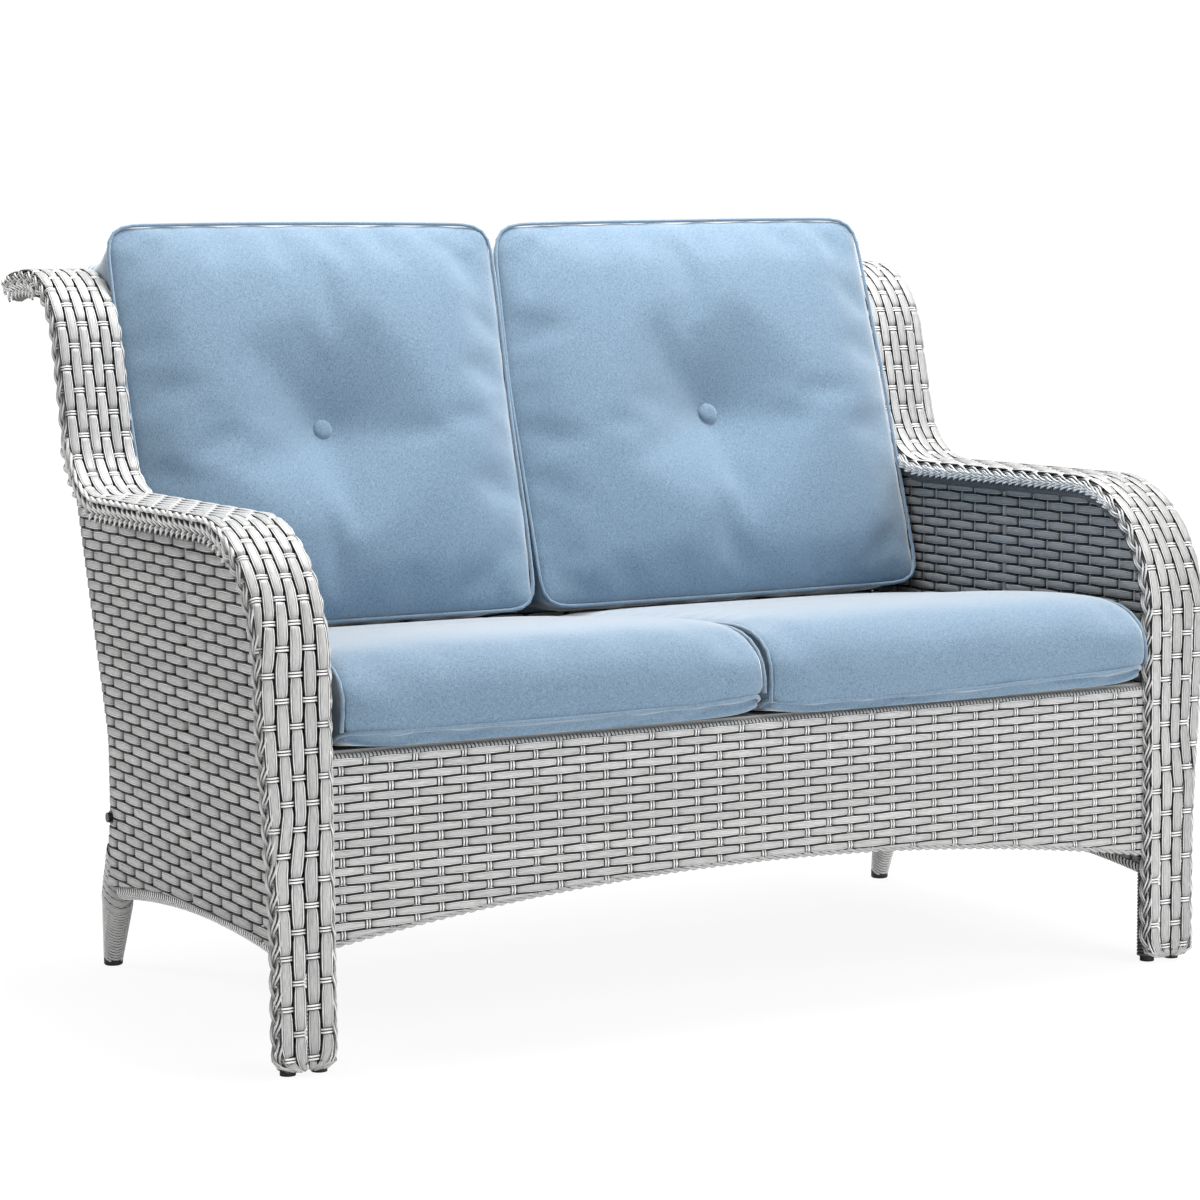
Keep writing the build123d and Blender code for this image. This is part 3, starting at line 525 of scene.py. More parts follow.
def plait(bag, s, middle, reach, side):
    """Three groups of strands: each swings across as sin(a) while it rises and dips as sin(2a)."""
    for k in range(3):
        phase = 2 * math.pi * (s / plait_pitch + k / 3)
        rise = np.sin(2 * phase)
        for shift in pair_shifts:
            c = middle + reach * np.sin(phase) + shift
            line, out = band_place(c, s, (1.8 * rise + 0.9) * mm, side)
            # Painted light and shade: paler where the strand rises, darker where it dips.
            lay(bag, line, out, plait_radius, plait_radius, round_outline, 0.85 + 0.65 * rise)


herring_radius, herring_shifts = 1.5 * mm, (-1.7 * mm, 1.7 * mm)


def herringbone(bag, low, high, edge, depths, slants, pitch, side):
    """Pairs slant from the first depth to the second and shorter ones on to the third, as sin(a)."""
    t = np.linspace(0, 1, 7)
    raised = np.sin(math.pi * t)
    for begin in np.arange(low, high, pitch):
        for start, first, last, slant in ((0, depths[0], depths[1], slants[0]),
                                          (0.85 * slants[0], depths[1], depths[2], slants[1])):
            for shift in herring_shifts:
                s = begin + start + slant * t
                c = edge(s) + first + (last - first) * t + shift
                line, out = band_place(c, s, (3.4 * raised - 0.8) * mm, side)
                # Painted shade darkens the pairs at their sunk ends, painted light brightens them where they rise.
                lay(bag, line, out, herring_radius, herring_radius, round_outline, 0.1 + 1.7 * raised)


pair_stations = np.arange(pair_pitch * 0.45, band_length - pair_pitch * 0.2, pair_pitch)
for side, tag in ((-1, "l"), (1, "r")):
    flats = new_bag()
    s = places_on(pair_stations, 0, band_length, (-0.19, -0.13, 0.11, 0.17, 0.34, 0.5, 0.66))
    s = np.unique(np.r_[s, np.linspace(0, foot_round, 5)])
    lanes = lane_count(s)
    pitch = (girth(s) - 2 * margin(s)) / lanes
    for k in range(6):
        share = np.clip(lanes - k, 0, 1)
        keep = share > 0.12
        level = bulge(s, pair_stations, k, 0.12, 0.18)
        narrow = np.exp(-((from_dive(s, pair_stations, k) / 0.3) ** 2))
        centre = margin(s) + (k + share / 2) * pitch
        half = share * pitch / 2 * (0.95 - 0.24 * narrow)
        line, out = band_place(centre, s, (2.1 * level - 0.9) * mm, side)
        # Painted shade darkens each flat where it dives under a pair.
        lay(flats, line[keep], out[keep], half[keep], flat_thick,
            lift=(0.45 + 0.45 * level)[keep], taper=0.93)

    # Two more flats close the band from below, from the top of the leg to the scroll.
    s = s[s > leg_length]
    point, ray = on_band(s)
    for k, lane_x in enumerate((632.5 * mm, 648 * mm)):
        deep = np.interp(s, (band_length - 100 * mm, band_length), (31.5 * mm, 22 * mm))
        deep = deep - 1 * mm * swing(s, pair_stations, k)
        line = in_space(side * lane_x, point - ray * deep[:, None])
        # Painted shade draws these two flats darker.
        lay(flats, line, in_space(0.0, -ray), 7.6 * mm, flat_thick, lift=0.55)
    woven("arm_band_flats_" + tag, flats, wicker, "arm_band_" + tag)

    pairs = new_bag()
    for i, station in enumerate(np.r_[pair_stations, band_length - 3 * mm]):
        last = i == len(pair_stations)
        edge = float(margin(station))
        step = (float(girth(station)) - 2 * edge) / float(lane_count(station))
        low = edge - 10 * mm
        high = float(girth(station)) - edge
        high += float(np.interp(station, (300 * mm, 500 * mm), (9 * mm, 20 * mm)))
        c = np.sort(np.r_[np.arange(edge - step, high, step / 4)[1:], low, high])
        c = c[(c >= low) & (c <= high)]
        over = 1 + 0 * c if last else -np.cos(math.pi * ((c - edge) / step - 0.5 + i))
        over = np.sign(over) * np.abs(over) ** 0.5
        fade = np.clip(np.minimum(c - low, high - c) / (6 * mm), 0, 1)
        for shift in pair_shifts:
            # Painted light makes the pairs paler where they pass over, painted shade darker where they pass under.
            line, out = band_place(c, station + shift + 0 * c, (1.3 * over * fade - 0.9) * mm, side)
            lay(pairs, line, out, pair_radius, pair_radius, round_outline, 1.1 + 0.9 * over)
    woven("arm_band_pairs_" + tag, pairs, wicker)

    # The inner edge is plaited all along. The outer one has a twisted cord on the arm instead.
    plaits = new_bag()
    s = np.arange(0, band_length + 4 * mm, 6.5 * mm)
    foot = np.interp(s, (350 * mm, 600 * mm), (2 * mm, -1 * mm))
    plait(plaits, s, foot + tuck(s), 6 * mm, side)
    rim = girth(s) - foot - tuck(s) + np.interp(s, (350 * mm, 600 * mm), (0, 2 * mm))
    for run in (s < arm_start + 30 * mm, s > arm_end - 30 * mm):
        plait(plaits, s[run], rim[run], 7 * mm, side)
    s = np.arange(arm_start - 20 * mm, arm_end + 20 * mm, 3.5 * mm)
    for turn in (0, math.pi):
        a = 2 * math.pi * s / cord_pitch + turn
        c = girth(s) + (1.5 * np.cos(a) - 4.5) * mm
        line, out = band_place(c, s, (1.4 + 1.5 * np.sin(a)) * mm, side)
        # Painted light makes the cord paler than its face colour, most where it rises.
        lay(plaits, line, out, cord_radius, cord_radius, round_outline, 1.25 + 0.35 * np.sin(a))

    # Slanting pairs hang from the outer edge on the arm and the scroll and from the inner one on
    # the arm. Depths, slants and pitch are in millimetres.
    on_arm = (arm_start + 20 * mm, arm_end + 30 * mm)
    on_scroll = (band_length - 120 * mm, band_length)
    for (low, high), edge, depths, slants, pitch in (
            (on_arm, girth, (0.5, 11.5, 21.0), (-30, 14), 18),
            (on_scroll, girth, (7.0, 16.0, 25.0), (-30, 14), 16),
            (on_arm, np.zeros_like, (1.0, -5.0, -11.0), (-30, 20), 15)):
        herringbone(plaits, low, high, edge, np.array(depths) * mm, np.array(slants) * mm,
                    pitch * mm, side)
    woven("arm_band_plaits_" + tag, plaits, wicker)

# Side panels
# Each panel has an outer and an inner skin of resin. Flats lie in level rows on both and turn round
# the rear post, narrow uprights pass in and out of them, and a wider one hides the frame's upright.

panel_x = 603 * mm
skin_half = 16.2 * mm
row_pitch = 13.3 * mm
half_flat = 6.5 * mm
upright_y = -94 * mm
upright_half, upright_thick = 1.9 * mm, 0.7 * mm
foot_y, knee_y, wing_y = 247 * mm, 194.6 * mm, 387 * mm
foot_z, knee_low_z, knee_high_z, post_low_z = 12 * mm, 205 * mm, 312 * mm, 114 * mm
post_bend = 120 * mm
flat_swell, flat_dent = 1.8 * mm, 11 * mm
tube_radius, tube_sink, tube_back = 4.2 * mm, 5.6 * mm, 3 * mm
# The inner skin, towards the cushions, is painted darker as shade.
inner_skin_painted_shade = 0.62


def under_band(depth):
    """Side-view line at this depth under the band's show face, from the leg to the scroll."""
    return side_points - depth * side_rays


def rounded(points, radius):
    """Polyline with round corners: parabolas between the ends of an arc of this radius."""
    points = [np.array(p) for p in points]
    line = [points[0]]
    for before, here, after in zip(points, points[1:], points[2:]):
        into, out = unit(here - before), unit(after - here)
        angle = math.acos(float(np.clip(into @ out, -1, 1)))
        reach = radius * math.tan(angle / 2)
        for share in np.linspace(0, 1, 9):
            a, b, c = (1 - share) ** 2, 2 * share * (1 - share), share**2
            line.append(a * (here - reach * into) + b * here + c * (here + reach * out))
    line.append(points[-1])
    return np.array(line)


def on_leg(z):
    """Place on the straight lower part of the rear post, from the knee down to the foot."""
    return knee_y + (knee_low_z - z) / (knee_low_z - foot_z) * (foot_y - knee_y), z


scroll_under = under_band(32 * mm)[-60:]
post_top = np.array((wing_y, np.interp(wing_y, scroll_under[:, 0], scroll_under[:, 1])))
knee_low, knee_high = (knee_y, knee_low_z), (knee_y, knee_high_z)
post_line = rounded((on_leg(post_low_z), knee_low, knee_high, post_top), post_bend)


def circle_height(y, points):
    """Height at y on the circle through three side-view points, on the side of the middle one.

    Its centre is equally far from all three, which gives two linear equations.
    """
    (a, b), (c, d), (e, f) = points
    grid = np.array([[2 * (c - a), 2 * (d - b)], [2 * (e - a), 2 * (f - b)]])
    right = np.array([c * c - a * a + d * d - b * b, e * e - a * a + f * f - b * b])
    centre = np.linalg.solve(grid, right)
    radius = math.hypot(a - centre[0], b - centre[1])
    return centre[1] + math.copysign(1, d - centre[1]) * np.sqrt(radius**2 - (y - centre[0]) ** 2)


rail_bow = np.array([(-406, 120), (-120, 136), (199, 107)]) * mm
front_part = under_band(14 * mm)
front_part = front_part[(front_part[:, 1] > 128 * mm) & (front_part[:, 0] < wing_y - 5 * mm)]
rail_y = np.linspace(199 * mm, -406 * mm, 40)
panel_outline = np.concatenate([front_part, post_line[::-1],
                                np.stack([rail_y, circle_height(rail_y, rail_bow) - 3 * mm], 1)])


def crossings(outline, axis, value):
    """Where a closed outline crosses a level line (axis 1) or an upright line (axis 0)."""
    a, b = outline, np.roll(outline, -1, axis=0)
    hit = (a[:, axis] < value) != (b[:, axis] < value)
    share = (value - a[hit, axis]) / (b[hit, axis] - a[hit, axis])
    other = 1 - axis
    return np.sort(a[hit, other] + share * (b[hit, other] - a[hit, other]))


side_cols = np.r_[upright_y - 38 * mm - 32.3 * mm * np.arange(9)[::-1], upright_y,
                  upright_y + 38 * mm + 32.3 * mm * np.arange(15)]
side_rows = 122 * mm + row_pitch * np.arange(60)
half_turn = np.linspace(0, math.pi, 9)[1:-1]
tube_reach = np.array((-10.5, -7.5, -5, 5, 7.5, 10.5)) * mm


def lay_row(flats, r, z, low, high, side):
    """One level flat on both skins, from low to high along y.

    It swells between the uprights by the bulge, dents in where it passes under the wide upright,
    stays above the bottom rail, and turns round the rear post on a half circle. Painted shade darkens
    it where it dives and dents and on the inner skin.
    """
    turns = high > 170 * mm
    y = places_on(side_cols, low, high)
    beside = upright_y + tube_reach
    y = np.unique(np.r_[y, beside[(beside > low) & (beside < high)]])
    base = np.maximum(z - half_flat, circle_height(y, rail_bow) + 7 * mm)
    clear = z + half_flat - base > 1.6 * mm
    y, base = y[clear], base[clear]
    if len(y) < 3:
        return
    half = (z + half_flat - base) / 2
    level = bulge(y, side_cols, r)
    level = level * np.clip((high - y) / (12 * mm), 0, 1) if turns else level
    taper = lens(y, side_cols, r)
    behind = swing(np.array([upright_y]), side_cols, r)[0] < 0
    deep = np.interp(np.abs(y - upright_y), (5 * mm, 7.5 * mm, 10.5 * mm), (1, 0.7, 0)) * behind
    level = np.where(np.abs(y - upright_y) < 11 * mm, 1, level)
    lift = skin_half + flat_swell * level - flat_dent * deep
    # Painted shade: dark where the flat dives under an upright or dents behind the wide one.
    shown = np.maximum(0.5 + 0.5 * level - 0.9 * deep, 0)
    outer = np.stack([panel_x + lift, y, base + half], 1)
    inner = outer * (-1, 1, 1) + (2 * panel_x, 0, 0)
    rays = np.tile((1.0, 0, 0), (len(y), 1))
    if turns:
        lean = np.stack([np.cos(half_turn), np.sin(half_turn)], 1)
        bend = np.stack([panel_x + skin_half * lean[:, 0], high + skin_half * lean[:, 1],
                         np.full(len(lean), z)], 1)
        ray = np.stack([lean[:, 0], lean[:, 1], 0 * lean[:, 0]], 1)
        line = np.concatenate([outer, bend, inner[::-1]]) * (side, 1, 1)
        out = np.concatenate([rays, ray, -rays]) * (side, 1, 1)
        shown = np.r_[shown, np.full(len(lean), 0.8), inner_skin_painted_shade * shown[::-1]]
        half = np.r_[half, np.full(len(lean), half_flat), half[::-1]]
        taper = np.r_[taper, np.ones(len(lean)), taper[::-1]]
        lay(flats, line, out, half, flat_thick, lift=shown, taper=taper)
    else:
        across = rays * (side, 1, 1)
        for skin, out, light in ((inner, -across, inner_skin_painted_shade), (outer, across, 1.0)):
            lay(flats, skin * (side, 1, 1), out, half, flat_thick, lift=light * shown, taper=taper)


def lay_upright(uprights, c, y, low, high, side):
    """One upright on each skin, from low to high along z: over and under the rows as a cosine.

    The strand over the frame's upright is round and straight and lies deeper. Painted shade draws
    the other uprights black on the outer skin and a little darker on the inner one.
    """
    z = places_on(side_rows, low, high, even_shares)
    z = z[z > float(circle_height(y, rail_bow)) + 9 * mm]
    if high - low < 20 * mm or len(z) < 4:
        return
    tube = y == upright_y
    wave = (0.6 * -swing(z, side_rows, c) - 1.1) * mm
    lift = skin_half + (np.full(len(z), -tube_sink) if tube else wave)
    # Painted shade: black uprights on the outer skin, a little darker ones on the inner skin.
    for skin, shown in ((-1, 0.9), (1, 0.0)):
        x, out = side * (panel_x + skin * lift), (side * skin, 0, 0)
        line = np.stack([x, np.full(len(z), y + tube_back * tube), z], 1)
        if tube:
            lay(uprights, line, out, tube_radius, tube_radius, round_outline)
        else:
            lay(uprights, line, out, upright_half, upright_thick, lift=shown)


for side, tag in ((-1, "l"), (1, "r")):
    flats, uprights = new_bag(), new_bag()
    for r, z in enumerate(side_rows):
        ends = crossings(panel_outline, 1, z)
        for low, high in zip(ends[::2], ends[1::2]):
            lay_row(flats, r, z, low, high, side)
    for c, y in enumerate(side_cols):
        ends = crossings(panel_outline, 0, y)
        for low, high in zip(ends[::2], ends[1::2]):
            lay_upright(uprights, c, y, low, high, side)
    woven("side_panel_flats_" + tag, flats, wicker, "side_skin_outer_" + tag,
          "side_skin_inner_" + tag, "post_edge_wrap_" + tag)
    woven("side_panel_uprights_" + tag, uprights, wicker)

# Apron
# One resin skin under the front of the seat, between the legs. Flats lie in level rows, pairs of
# round strands cross them, and the lower edge is arched.

apron_y = -426 * mm
apron_top, apron_end, apron_mid = 363 * mm, 144 * mm, 192 * mm
half_row, apron_thick, apron_pair_radius = 5.25 * mm, 0.85 * mm, 1.25 * mm
apron_rows = apron_top - 5.5 * mm - 10.6 * mm * np.arange(22)
apron_cols = 31.2 * mm * np.arange(-18, 19)
bow = (inner_x**2 + (apron_mid - apron_end) ** 2) / (2 * (apron_mid - apron_end))


def apron_edge(x):
    """Height of the arched edge: a circle through both ends and the middle."""
    return apron_mid - bow + np.sqrt(bow**2 - x**2)


fine = places_on(apron_cols, -inner_x + 1 * mm, inner_x - 1 * mm,
                 (-0.175, -0.13, 0.13, 0.175, 0.34, 0.5, 0.66))
flats, uprights = new_bag(), new_bag()
for r, z in enumerate(apron_rows):
    low = np.maximum(z - half_row, apron_edge(fine) + 2 * mm)
    half = (z + half_row - low) / 2
    shown = half > 0.8 * mm
    starts = np.nonzero(shown & ~np.r_[False, shown[:-1]])[0]
    stops = np.nonzero(shown & ~np.r_[shown[1:], False])[0] + 1
    for start, stop in zip(starts, stops):
        if stop - start < 3:
            continue
        x = fine[start:stop]
        level = bulge(x, apron_cols, r, 0.125, 0.17)
        line = np.stack([x, apron_y - 1.5 * mm * level, (low + half)[start:stop]], 1)
        # Painted shade darkens each flat where it dives.
        lay(flats, line, (0, -1, 0), half[start:stop], apron_thick, lift=0.5 + 0.5 * level,
            taper=lens(x, apron_cols, r))
order = apron_rows[::-1]
for c, x in enumerate(apron_cols):
    z = places_on(order, float(apron_edge(x)) + 1 * mm, apron_top, even_shares)
    over = -swing(z, order, c + len(apron_rows) + 1)
    for shift in pair_shifts:
        line = np.stack([np.full(len(z), x + shift), apron_y - (1.4 * over - 0.2) * mm, z], 1)
        # Painted light makes the pairs paler where they pass over, painted shade darker where they pass under.
        lay(uprights, line, (0, -1, 0), apron_pair_radius, apron_pair_radius, round_outline,
            1.1 + 0.9 * over)
woven("apron_flats", flats, wicker, "apron_skin")
woven("apron_uprights", uprights, wicker)

# Back
# A resin sleeve over the steel back frame. Flats run along the seat in rows on both faces and over
# both edges, and narrow uprights run round the sleeve.

back_low_z, back_top_z = 138 * mm, 862 * mm
back_half, back_end_x = 16.4 * mm, 582 * mm
top_share = (back_top_z - knee_high_z) / (post_top[1] - knee_high_z)
back_top = np.array((knee_y + top_share * (wing_y - knee_y), back_top_z))
back_axis = rounded((on_leg(back_low_z), knee_low, knee_high, back_top), post_bend)
axis_ahead = unit(np.gradient(back_axis, axis=0))
axis_front = np.stack([-axis_ahead[:, 1], axis_ahead[:, 0]], 1)
turning = np.linspace(0, math.pi, 15)[1:-1, None]
top_roll = back_axis[-1] + back_half * (np.cos(turning) * axis_front[-1]
                                        + np.sin(turning) * axis_ahead[-1])
low_roll = back_axis[0] - back_half * (np.cos(turning) * axis_front[0]
                                       + np.sin(turning) * axis_ahead[0])
sleeve = np.concatenate([back_axis + back_half * axis_front, top_roll,
                         (back_axis - back_half * axis_front)[::-1], low_roll])
sleeve = np.concatenate([sleeve, sleeve[:1]])
sleeve_length = lengths(sleeve)
row_count = 2 * round(sleeve_length[-1] / (2 * row_pitch))
sleeve_rows = np.arange(row_count) * sleeve_length[-1] / row_count
back_cols = 31.6 * mm * np.arange(-18, 19)


def on_sleeve(t):
    """Point and outward direction at length t round the back's side view."""
    t = np.mod(t, sleeve_length[-1])
    here, ahead = (np.stack([np.interp(np.mod(t + d, sleeve_length[-1]), sleeve_length, sleeve[:, i])
                             for i in (0, 1)], -1) for d in (0, 1 * mm))
    run = unit(ahead - here)
    return here, np.stack([-run[..., 1], run[..., 0]], -1)


front_flats, rear_flats, uprights = new_bag(), new_bag(), new_bag()
x = places_on(back_cols, -back_end_x, back_end_x)
for r, t in enumerate(sleeve_rows):
    here, ray = on_sleeve(t)
    level = bulge(x, back_cols, r)
    line = in_space(x, here + ray * (1.7 * mm * level)[:, None])
    flats = front_flats if ray[0] < 0 else rear_flats
    # Painted shade darkens each flat where it dives.
    lay(flats, line, in_space(0.0, ray), half_flat, flat_thick, lift=0.5 + 0.5 * level,
        taper=lens(x, back_cols, r))
for c, x in enumerate(back_cols):
    t = np.arange(0, row_count + 0.6, 0.5) * sleeve_length[-1] / row_count
    here, ray = on_sleeve(t)
    over = -np.cos(math.pi * (t * row_count / sleeve_length[-1] + c))
    line = in_space(x, here + ray * ((0.5 * over - 0.6) * mm)[:, None])
    # Painted shade draws the uprights black.
    lay(uprights, line, in_space(0.0, ray), upright_half, upright_thick, lift=0.0)
woven("back_flats_front", front_flats, wicker, "back_skin_front", "back_top_wrap")
woven("back_flats_rear", rear_flats, wicker, "back_skin_rear", "back_bottom_wrap")
woven("back_uprights", uprights, wicker)

# Wrapped rails and legs
# One resin strand is wound tightly round each steel rail and each rear leg, so that its turns
# stand out as ridges on the tube.

wind_thick = 0.75 * mm


def wind(bag, axis, radii, pitch, half_width, steps=10, slants=(0, 0), lift=0.85,
         outline=ridge_outline):
    """A helix round an axis line, one turn per pitch; slanted turns also rise as cos(a).
    lift is the painted light and shade of its turns.
    """
    axis = np.asarray(axis, float)
    length = lengths(axis)
    s = np.linspace(0, length[-1], int(length[-1] / pitch * steps))
    share = s / length[-1]
    centre = np.stack([np.interp(s, length, axis[:, i]) for i in range(3)], 1)
    ahead = unit(np.gradient(centre, axis=0))
    first = unit(np.cross(ahead, (1.0, 0.13, 0.07)))
    second = np.cross(ahead, first)
    a = 2 * math.pi * s / pitch
    ray = np.cos(a)[:, None] * first + np.sin(a)[:, None] * second
    radius = np.interp(share, np.linspace(0, 1, len(radii)), radii)
    rise = np.interp(share, np.linspace(0, 1, len(slants)), slants) * radius * np.cos(a)
    line = centre + radius[:, None] * ray + rise[:, None] * ahead
    lay(bag, line, ray, half_width, wind_thick, outline, lift)


rail_depth, inner_rail_in, outer_rail_in = 19.5 * mm, 14.5 * mm, 20 * mm
fine_pitch, fine_half = 4.6 * mm, 2.4 * mm
apron_wind_pitch, apron_wind_half = 5 * mm, 2.6 * mm
edge_cord_pitch, edge_cord_radius, rail_end = 26 * mm, 1.9 * mm, 575 * mm
for side, tag in ((-1, "l"), (1, "r")):
    bag = new_bag()
    s = np.linspace(0, band_length - 2 * mm, 160)
    point, ray = on_band(s)
    for x in (inner_x + inner_rail_in, inner_x + band_width(s) - outer_rail_in):
        # Painted shade draws these windings dark.
        wind(bag, in_space(side * x, point - rail_depth * ray), (12.6 * mm,), fine_pitch, fine_half,
             8, lift=0.22)
    woven("rail_windings_" + tag, bag, wicker, "rail_wrap_inner_" + tag, "rail_wrap_outer_" + tag)

    # The bottom rail has a core strand painted black, as painted shade between its turns, and painted
    # light makes its turns paler. The leg's turns slant and widen upwards, and broad flats are wound
    # over the joint of leg and rail; painted light makes both paler too.
    bag = new_bag()
    y = np.linspace(-404 * mm, 196 * mm, 40)
    line = np.stack([np.full(len(y), side * panel_x), y, circle_height(y, rail_bow)], 1)
    lay(bag, line, (0, 0, 1), 10 * mm, 10 * mm, round_outline, 0.0)
    wind(bag, line, (10.8 * mm,), 7.2 * mm, 2.9 * mm, 16, lift=1.7)
    low, joint, high = (np.array((side * panel_x, y * mm, z * mm))
                        for y, z in ((246.8, 12), (225, 92), (208, 156)))
    wind(bag, np.linspace(low, joint, 12), (12.4 * mm, 20.4 * mm), fine_pitch, 2.3 * mm, 16,
         (0.5, 0.7), 1.6)
    wind(bag, np.linspace(joint, high, 6), (20.6 * mm, 18.2 * mm), 10 * mm, 5.6 * mm, 16,
         (0.7, 0.7), 1.25, flat_outline)
    woven("side_windings_" + tag, bag, wicker, "rear_leg_wrap_" + tag, "side_rail_" + tag)

# Both rails of the apron are wound too, and a cord of two strands closes its arched edge. Painted
# shade draws the turns and the cord a little darker.
bag = new_bag()
x = np.linspace(-rail_end, rail_end, 60)
for behind, z, radius in ((10 * mm, apron_edge(x) + 8 * mm, 8.1 * mm),
                          (2 * mm, np.full(len(x), apron_top), 3.6 * mm)):
    line = np.stack([x, np.full(len(x), apron_y + behind), z], 1)
    wind(bag, line, (radius,), apron_wind_pitch, apron_wind_half)
x = np.arange(-rail_end, rail_end, 3.5 * mm)
for turn in (0, math.pi):
    a = 2 * math.pi * x / edge_cord_pitch + turn
    line = np.stack([x, apron_y + (1.6 * np.cos(a) - 1) * mm,
                     apron_edge(x) + (1.8 * np.sin(a) + 1) * mm], 1)
    lay(bag, line, (0, -1, 0), edge_cord_radius, edge_cord_radius, round_outline, 0.9)
woven("apron_windings", bag, wicker, "apron_arch_rail")

# Tubes, deck and fittings
# The welded tubes inside the weave are powder-coated steel. Plugs, feet and spacers are black
# plastic, the bolts and washers are black too, and the seat deck is resin. All keep their packed
# form.


def plain_material(name, colour, rough, grain):
    """Even colour with a slight mottle from noise in the piece's own place."""
    material, tree, shader = new_material(name)
    place = node(tree, "ShaderNodeTexCoord").outputs["Object"]
    mottle = node(tree, "ShaderNodeTexNoise",
                  {"Vector": place, "Scale": grain, "Detail": 3.0}).outputs["Fac"]
    darker = tuple(0.75 * v for v in colour[:3]) + (1,)
    feed(tree, shader, {"Base Color": mixed(tree, mottle, darker, colour),
                        "Normal": bumped(tree, mottle, 0.15, 0.3 * mm), "Roughness": rough})
    return material


under_resin = plain_material("under_resin", (0.34, 0.34, 0.335, 1), 0.6, 300)
coated_steel = plain_material("coated_steel", (0.10, 0.10, 0.10, 1), 0.45, 500)
black_plastic = plain_material("black_plastic", (0.02, 0.02, 0.02, 1), 0.4, 400)
finishes = {"resin_wicker": under_resin, "coated_steel": coated_steel,
            "black_plastic": black_plastic, "black_screw": black_plastic}
for row in frame["record"]["subparts"]:
    if row["material_slot"] in finishes:
        shown = frame["nodes"][row["node"]]
        shown.data.materials.clear()
        shown.data.materials.append(finishes[row["material_slot"]])

# Seat cushions
# Boxed cushions in heathered outdoor cloth, in which fine pale and dark blue yarns cross. The top
# panel rolls over the front down to a seam just above the lower edge, and piping runs round the top
# panel and round the bottom panel. They lie loose on the deck.


def cloth_material(deep, pale):
    """Two sets of yarn noise, each stretched along one direction, over a slow change of tone."""
    material, tree, shader = new_material("cushion_cloth")
    place = node(tree, "ShaderNodeTexCoord").outputs["Object"]
    yarns = []
    for scale in ((1500, 260, 260), (260, 1500, 1500)):
        grid = node(tree, "ShaderNodeMapping", {"Vector": place, "Scale": scale}).outputs[0]
        noise = node(tree, "ShaderNodeTexNoise",
                     {"Vector": grid, "Scale": 1.0, "Detail": 2.0, "Roughness": 0.7})
        yarns.append(noise.outputs["Fac"])
    both = maths(tree, "MULTIPLY", maths(tree, "ADD", *yarns), 0.5)
    spread = node(tree, "ShaderNodeMapRange", {"Value": both, "From Min": 0.34, "From Max": 0.66})
    base = mixed(tree, spread.outputs[0], deep, pale)
    slow = node(tree, "ShaderNodeTexNoise", {"Vector": place, "Scale": 9.0})
    tint = mixed(tree, slow.outputs["Fac"], (0.95, 0.96, 0.97, 1), (1.05, 1.04, 1.03, 1))
    feed(tree, shader, {"Base Color": mixed(tree, 1.0, base, tint, "MULTIPLY"),
                        "Normal": bumped(tree, both, 0.25, 0.4 * mm), "Roughness": 0.85,
                        "Sheen Weight": 1.0, "Sheen Roughness": 0.4})
    return material


cloth = cloth_material((0.064, 0.128, 0.206, 1), (0.222, 0.316, 0.404, 1))


def smooth_curve(points, count):
    """Smooth curve through all the points, with even steps along its length.

    Each stretch is a cubic whose slope at a point is half the step between that point's neighbours.
    """
    p = np.array(points, float)
    p = np.concatenate([2 * p[:1] - p[1:2], p, 2 * p[-1:] - p[-2:-1]])
    t = np.linspace(0, 1, 12, endpoint=False)[:, None]
    runs = [0.5 * (2 * b + (c - a) * t + (2 * a - 5 * b + 4 * c - d) * t**2
                   + (3 * b - a - 3 * c + d) * t**3)
            for a, b, c, d in zip(p, p[1:], p[2:], p[3:])]
    line = np.concatenate(runs + [p[-2:-1]])
    length = lengths(line)
    even = np.linspace(0, length[-1], count)
    return np.stack([np.interp(even, length, line[:, i]) for i in range(line.shape[1])], 1)


def placed(origin, first, first_way, second, second_way, x):
    """Origin + first times its way + second times its way + x along the seat, for whole grids."""
    grid = origin + first[..., None] * first_way + second[..., None] * second_way
    return grid + x[..., None] * np.array((1, 0, 0))


def shell(face_a, face_b, rings, swell):
    """Closed cushion of two equal grids, joined round their rims by boxing that swells as sin(a)."""
    rows, cols = face_a.shape[:2]
    index = np.arange(rows * cols).reshape(rows, cols)
    rim = np.concatenate([index[0, :-1], index[:-1, -1], index[-1, :0:-1], index[:0:-1, 0]])
    total = rows * cols
    a, b = face_a.reshape(-1, 3), face_b.reshape(-1, 3)
    run = np.roll(a[rim], -1, 0) - np.roll(a[rim], 1, 0)
    out = unit(np.cross(run, b[rim] - a[rim]))
    loops, points, start = [rim], [a, b], 2 * total
    for k in range(1, rings):
        share = k / rings
        points.append(a[rim] * (1 - share) + b[rim] * share + swell * math.sin(math.pi * share) * out)
        loops.append(start + np.arange(len(rim)))
        start += len(rim)
    loops.append(rim + total)
    quads = np.stack([index[:-1, :-1], index[:-1, 1:], index[1:, 1:], index[1:, :-1]], -1)
    quads = quads.reshape(-1, 4)
    sides = [np.stack([np.roll(low, -1), low, high, np.roll(high, -1)], 1)
             for low, high in zip(loops, loops[1:])]
    faces = [quads, quads[:, ::-1] + total] + sides
    return np.concatenate(points), np.concatenate(faces), np.array(loops)


settling_frames = 20


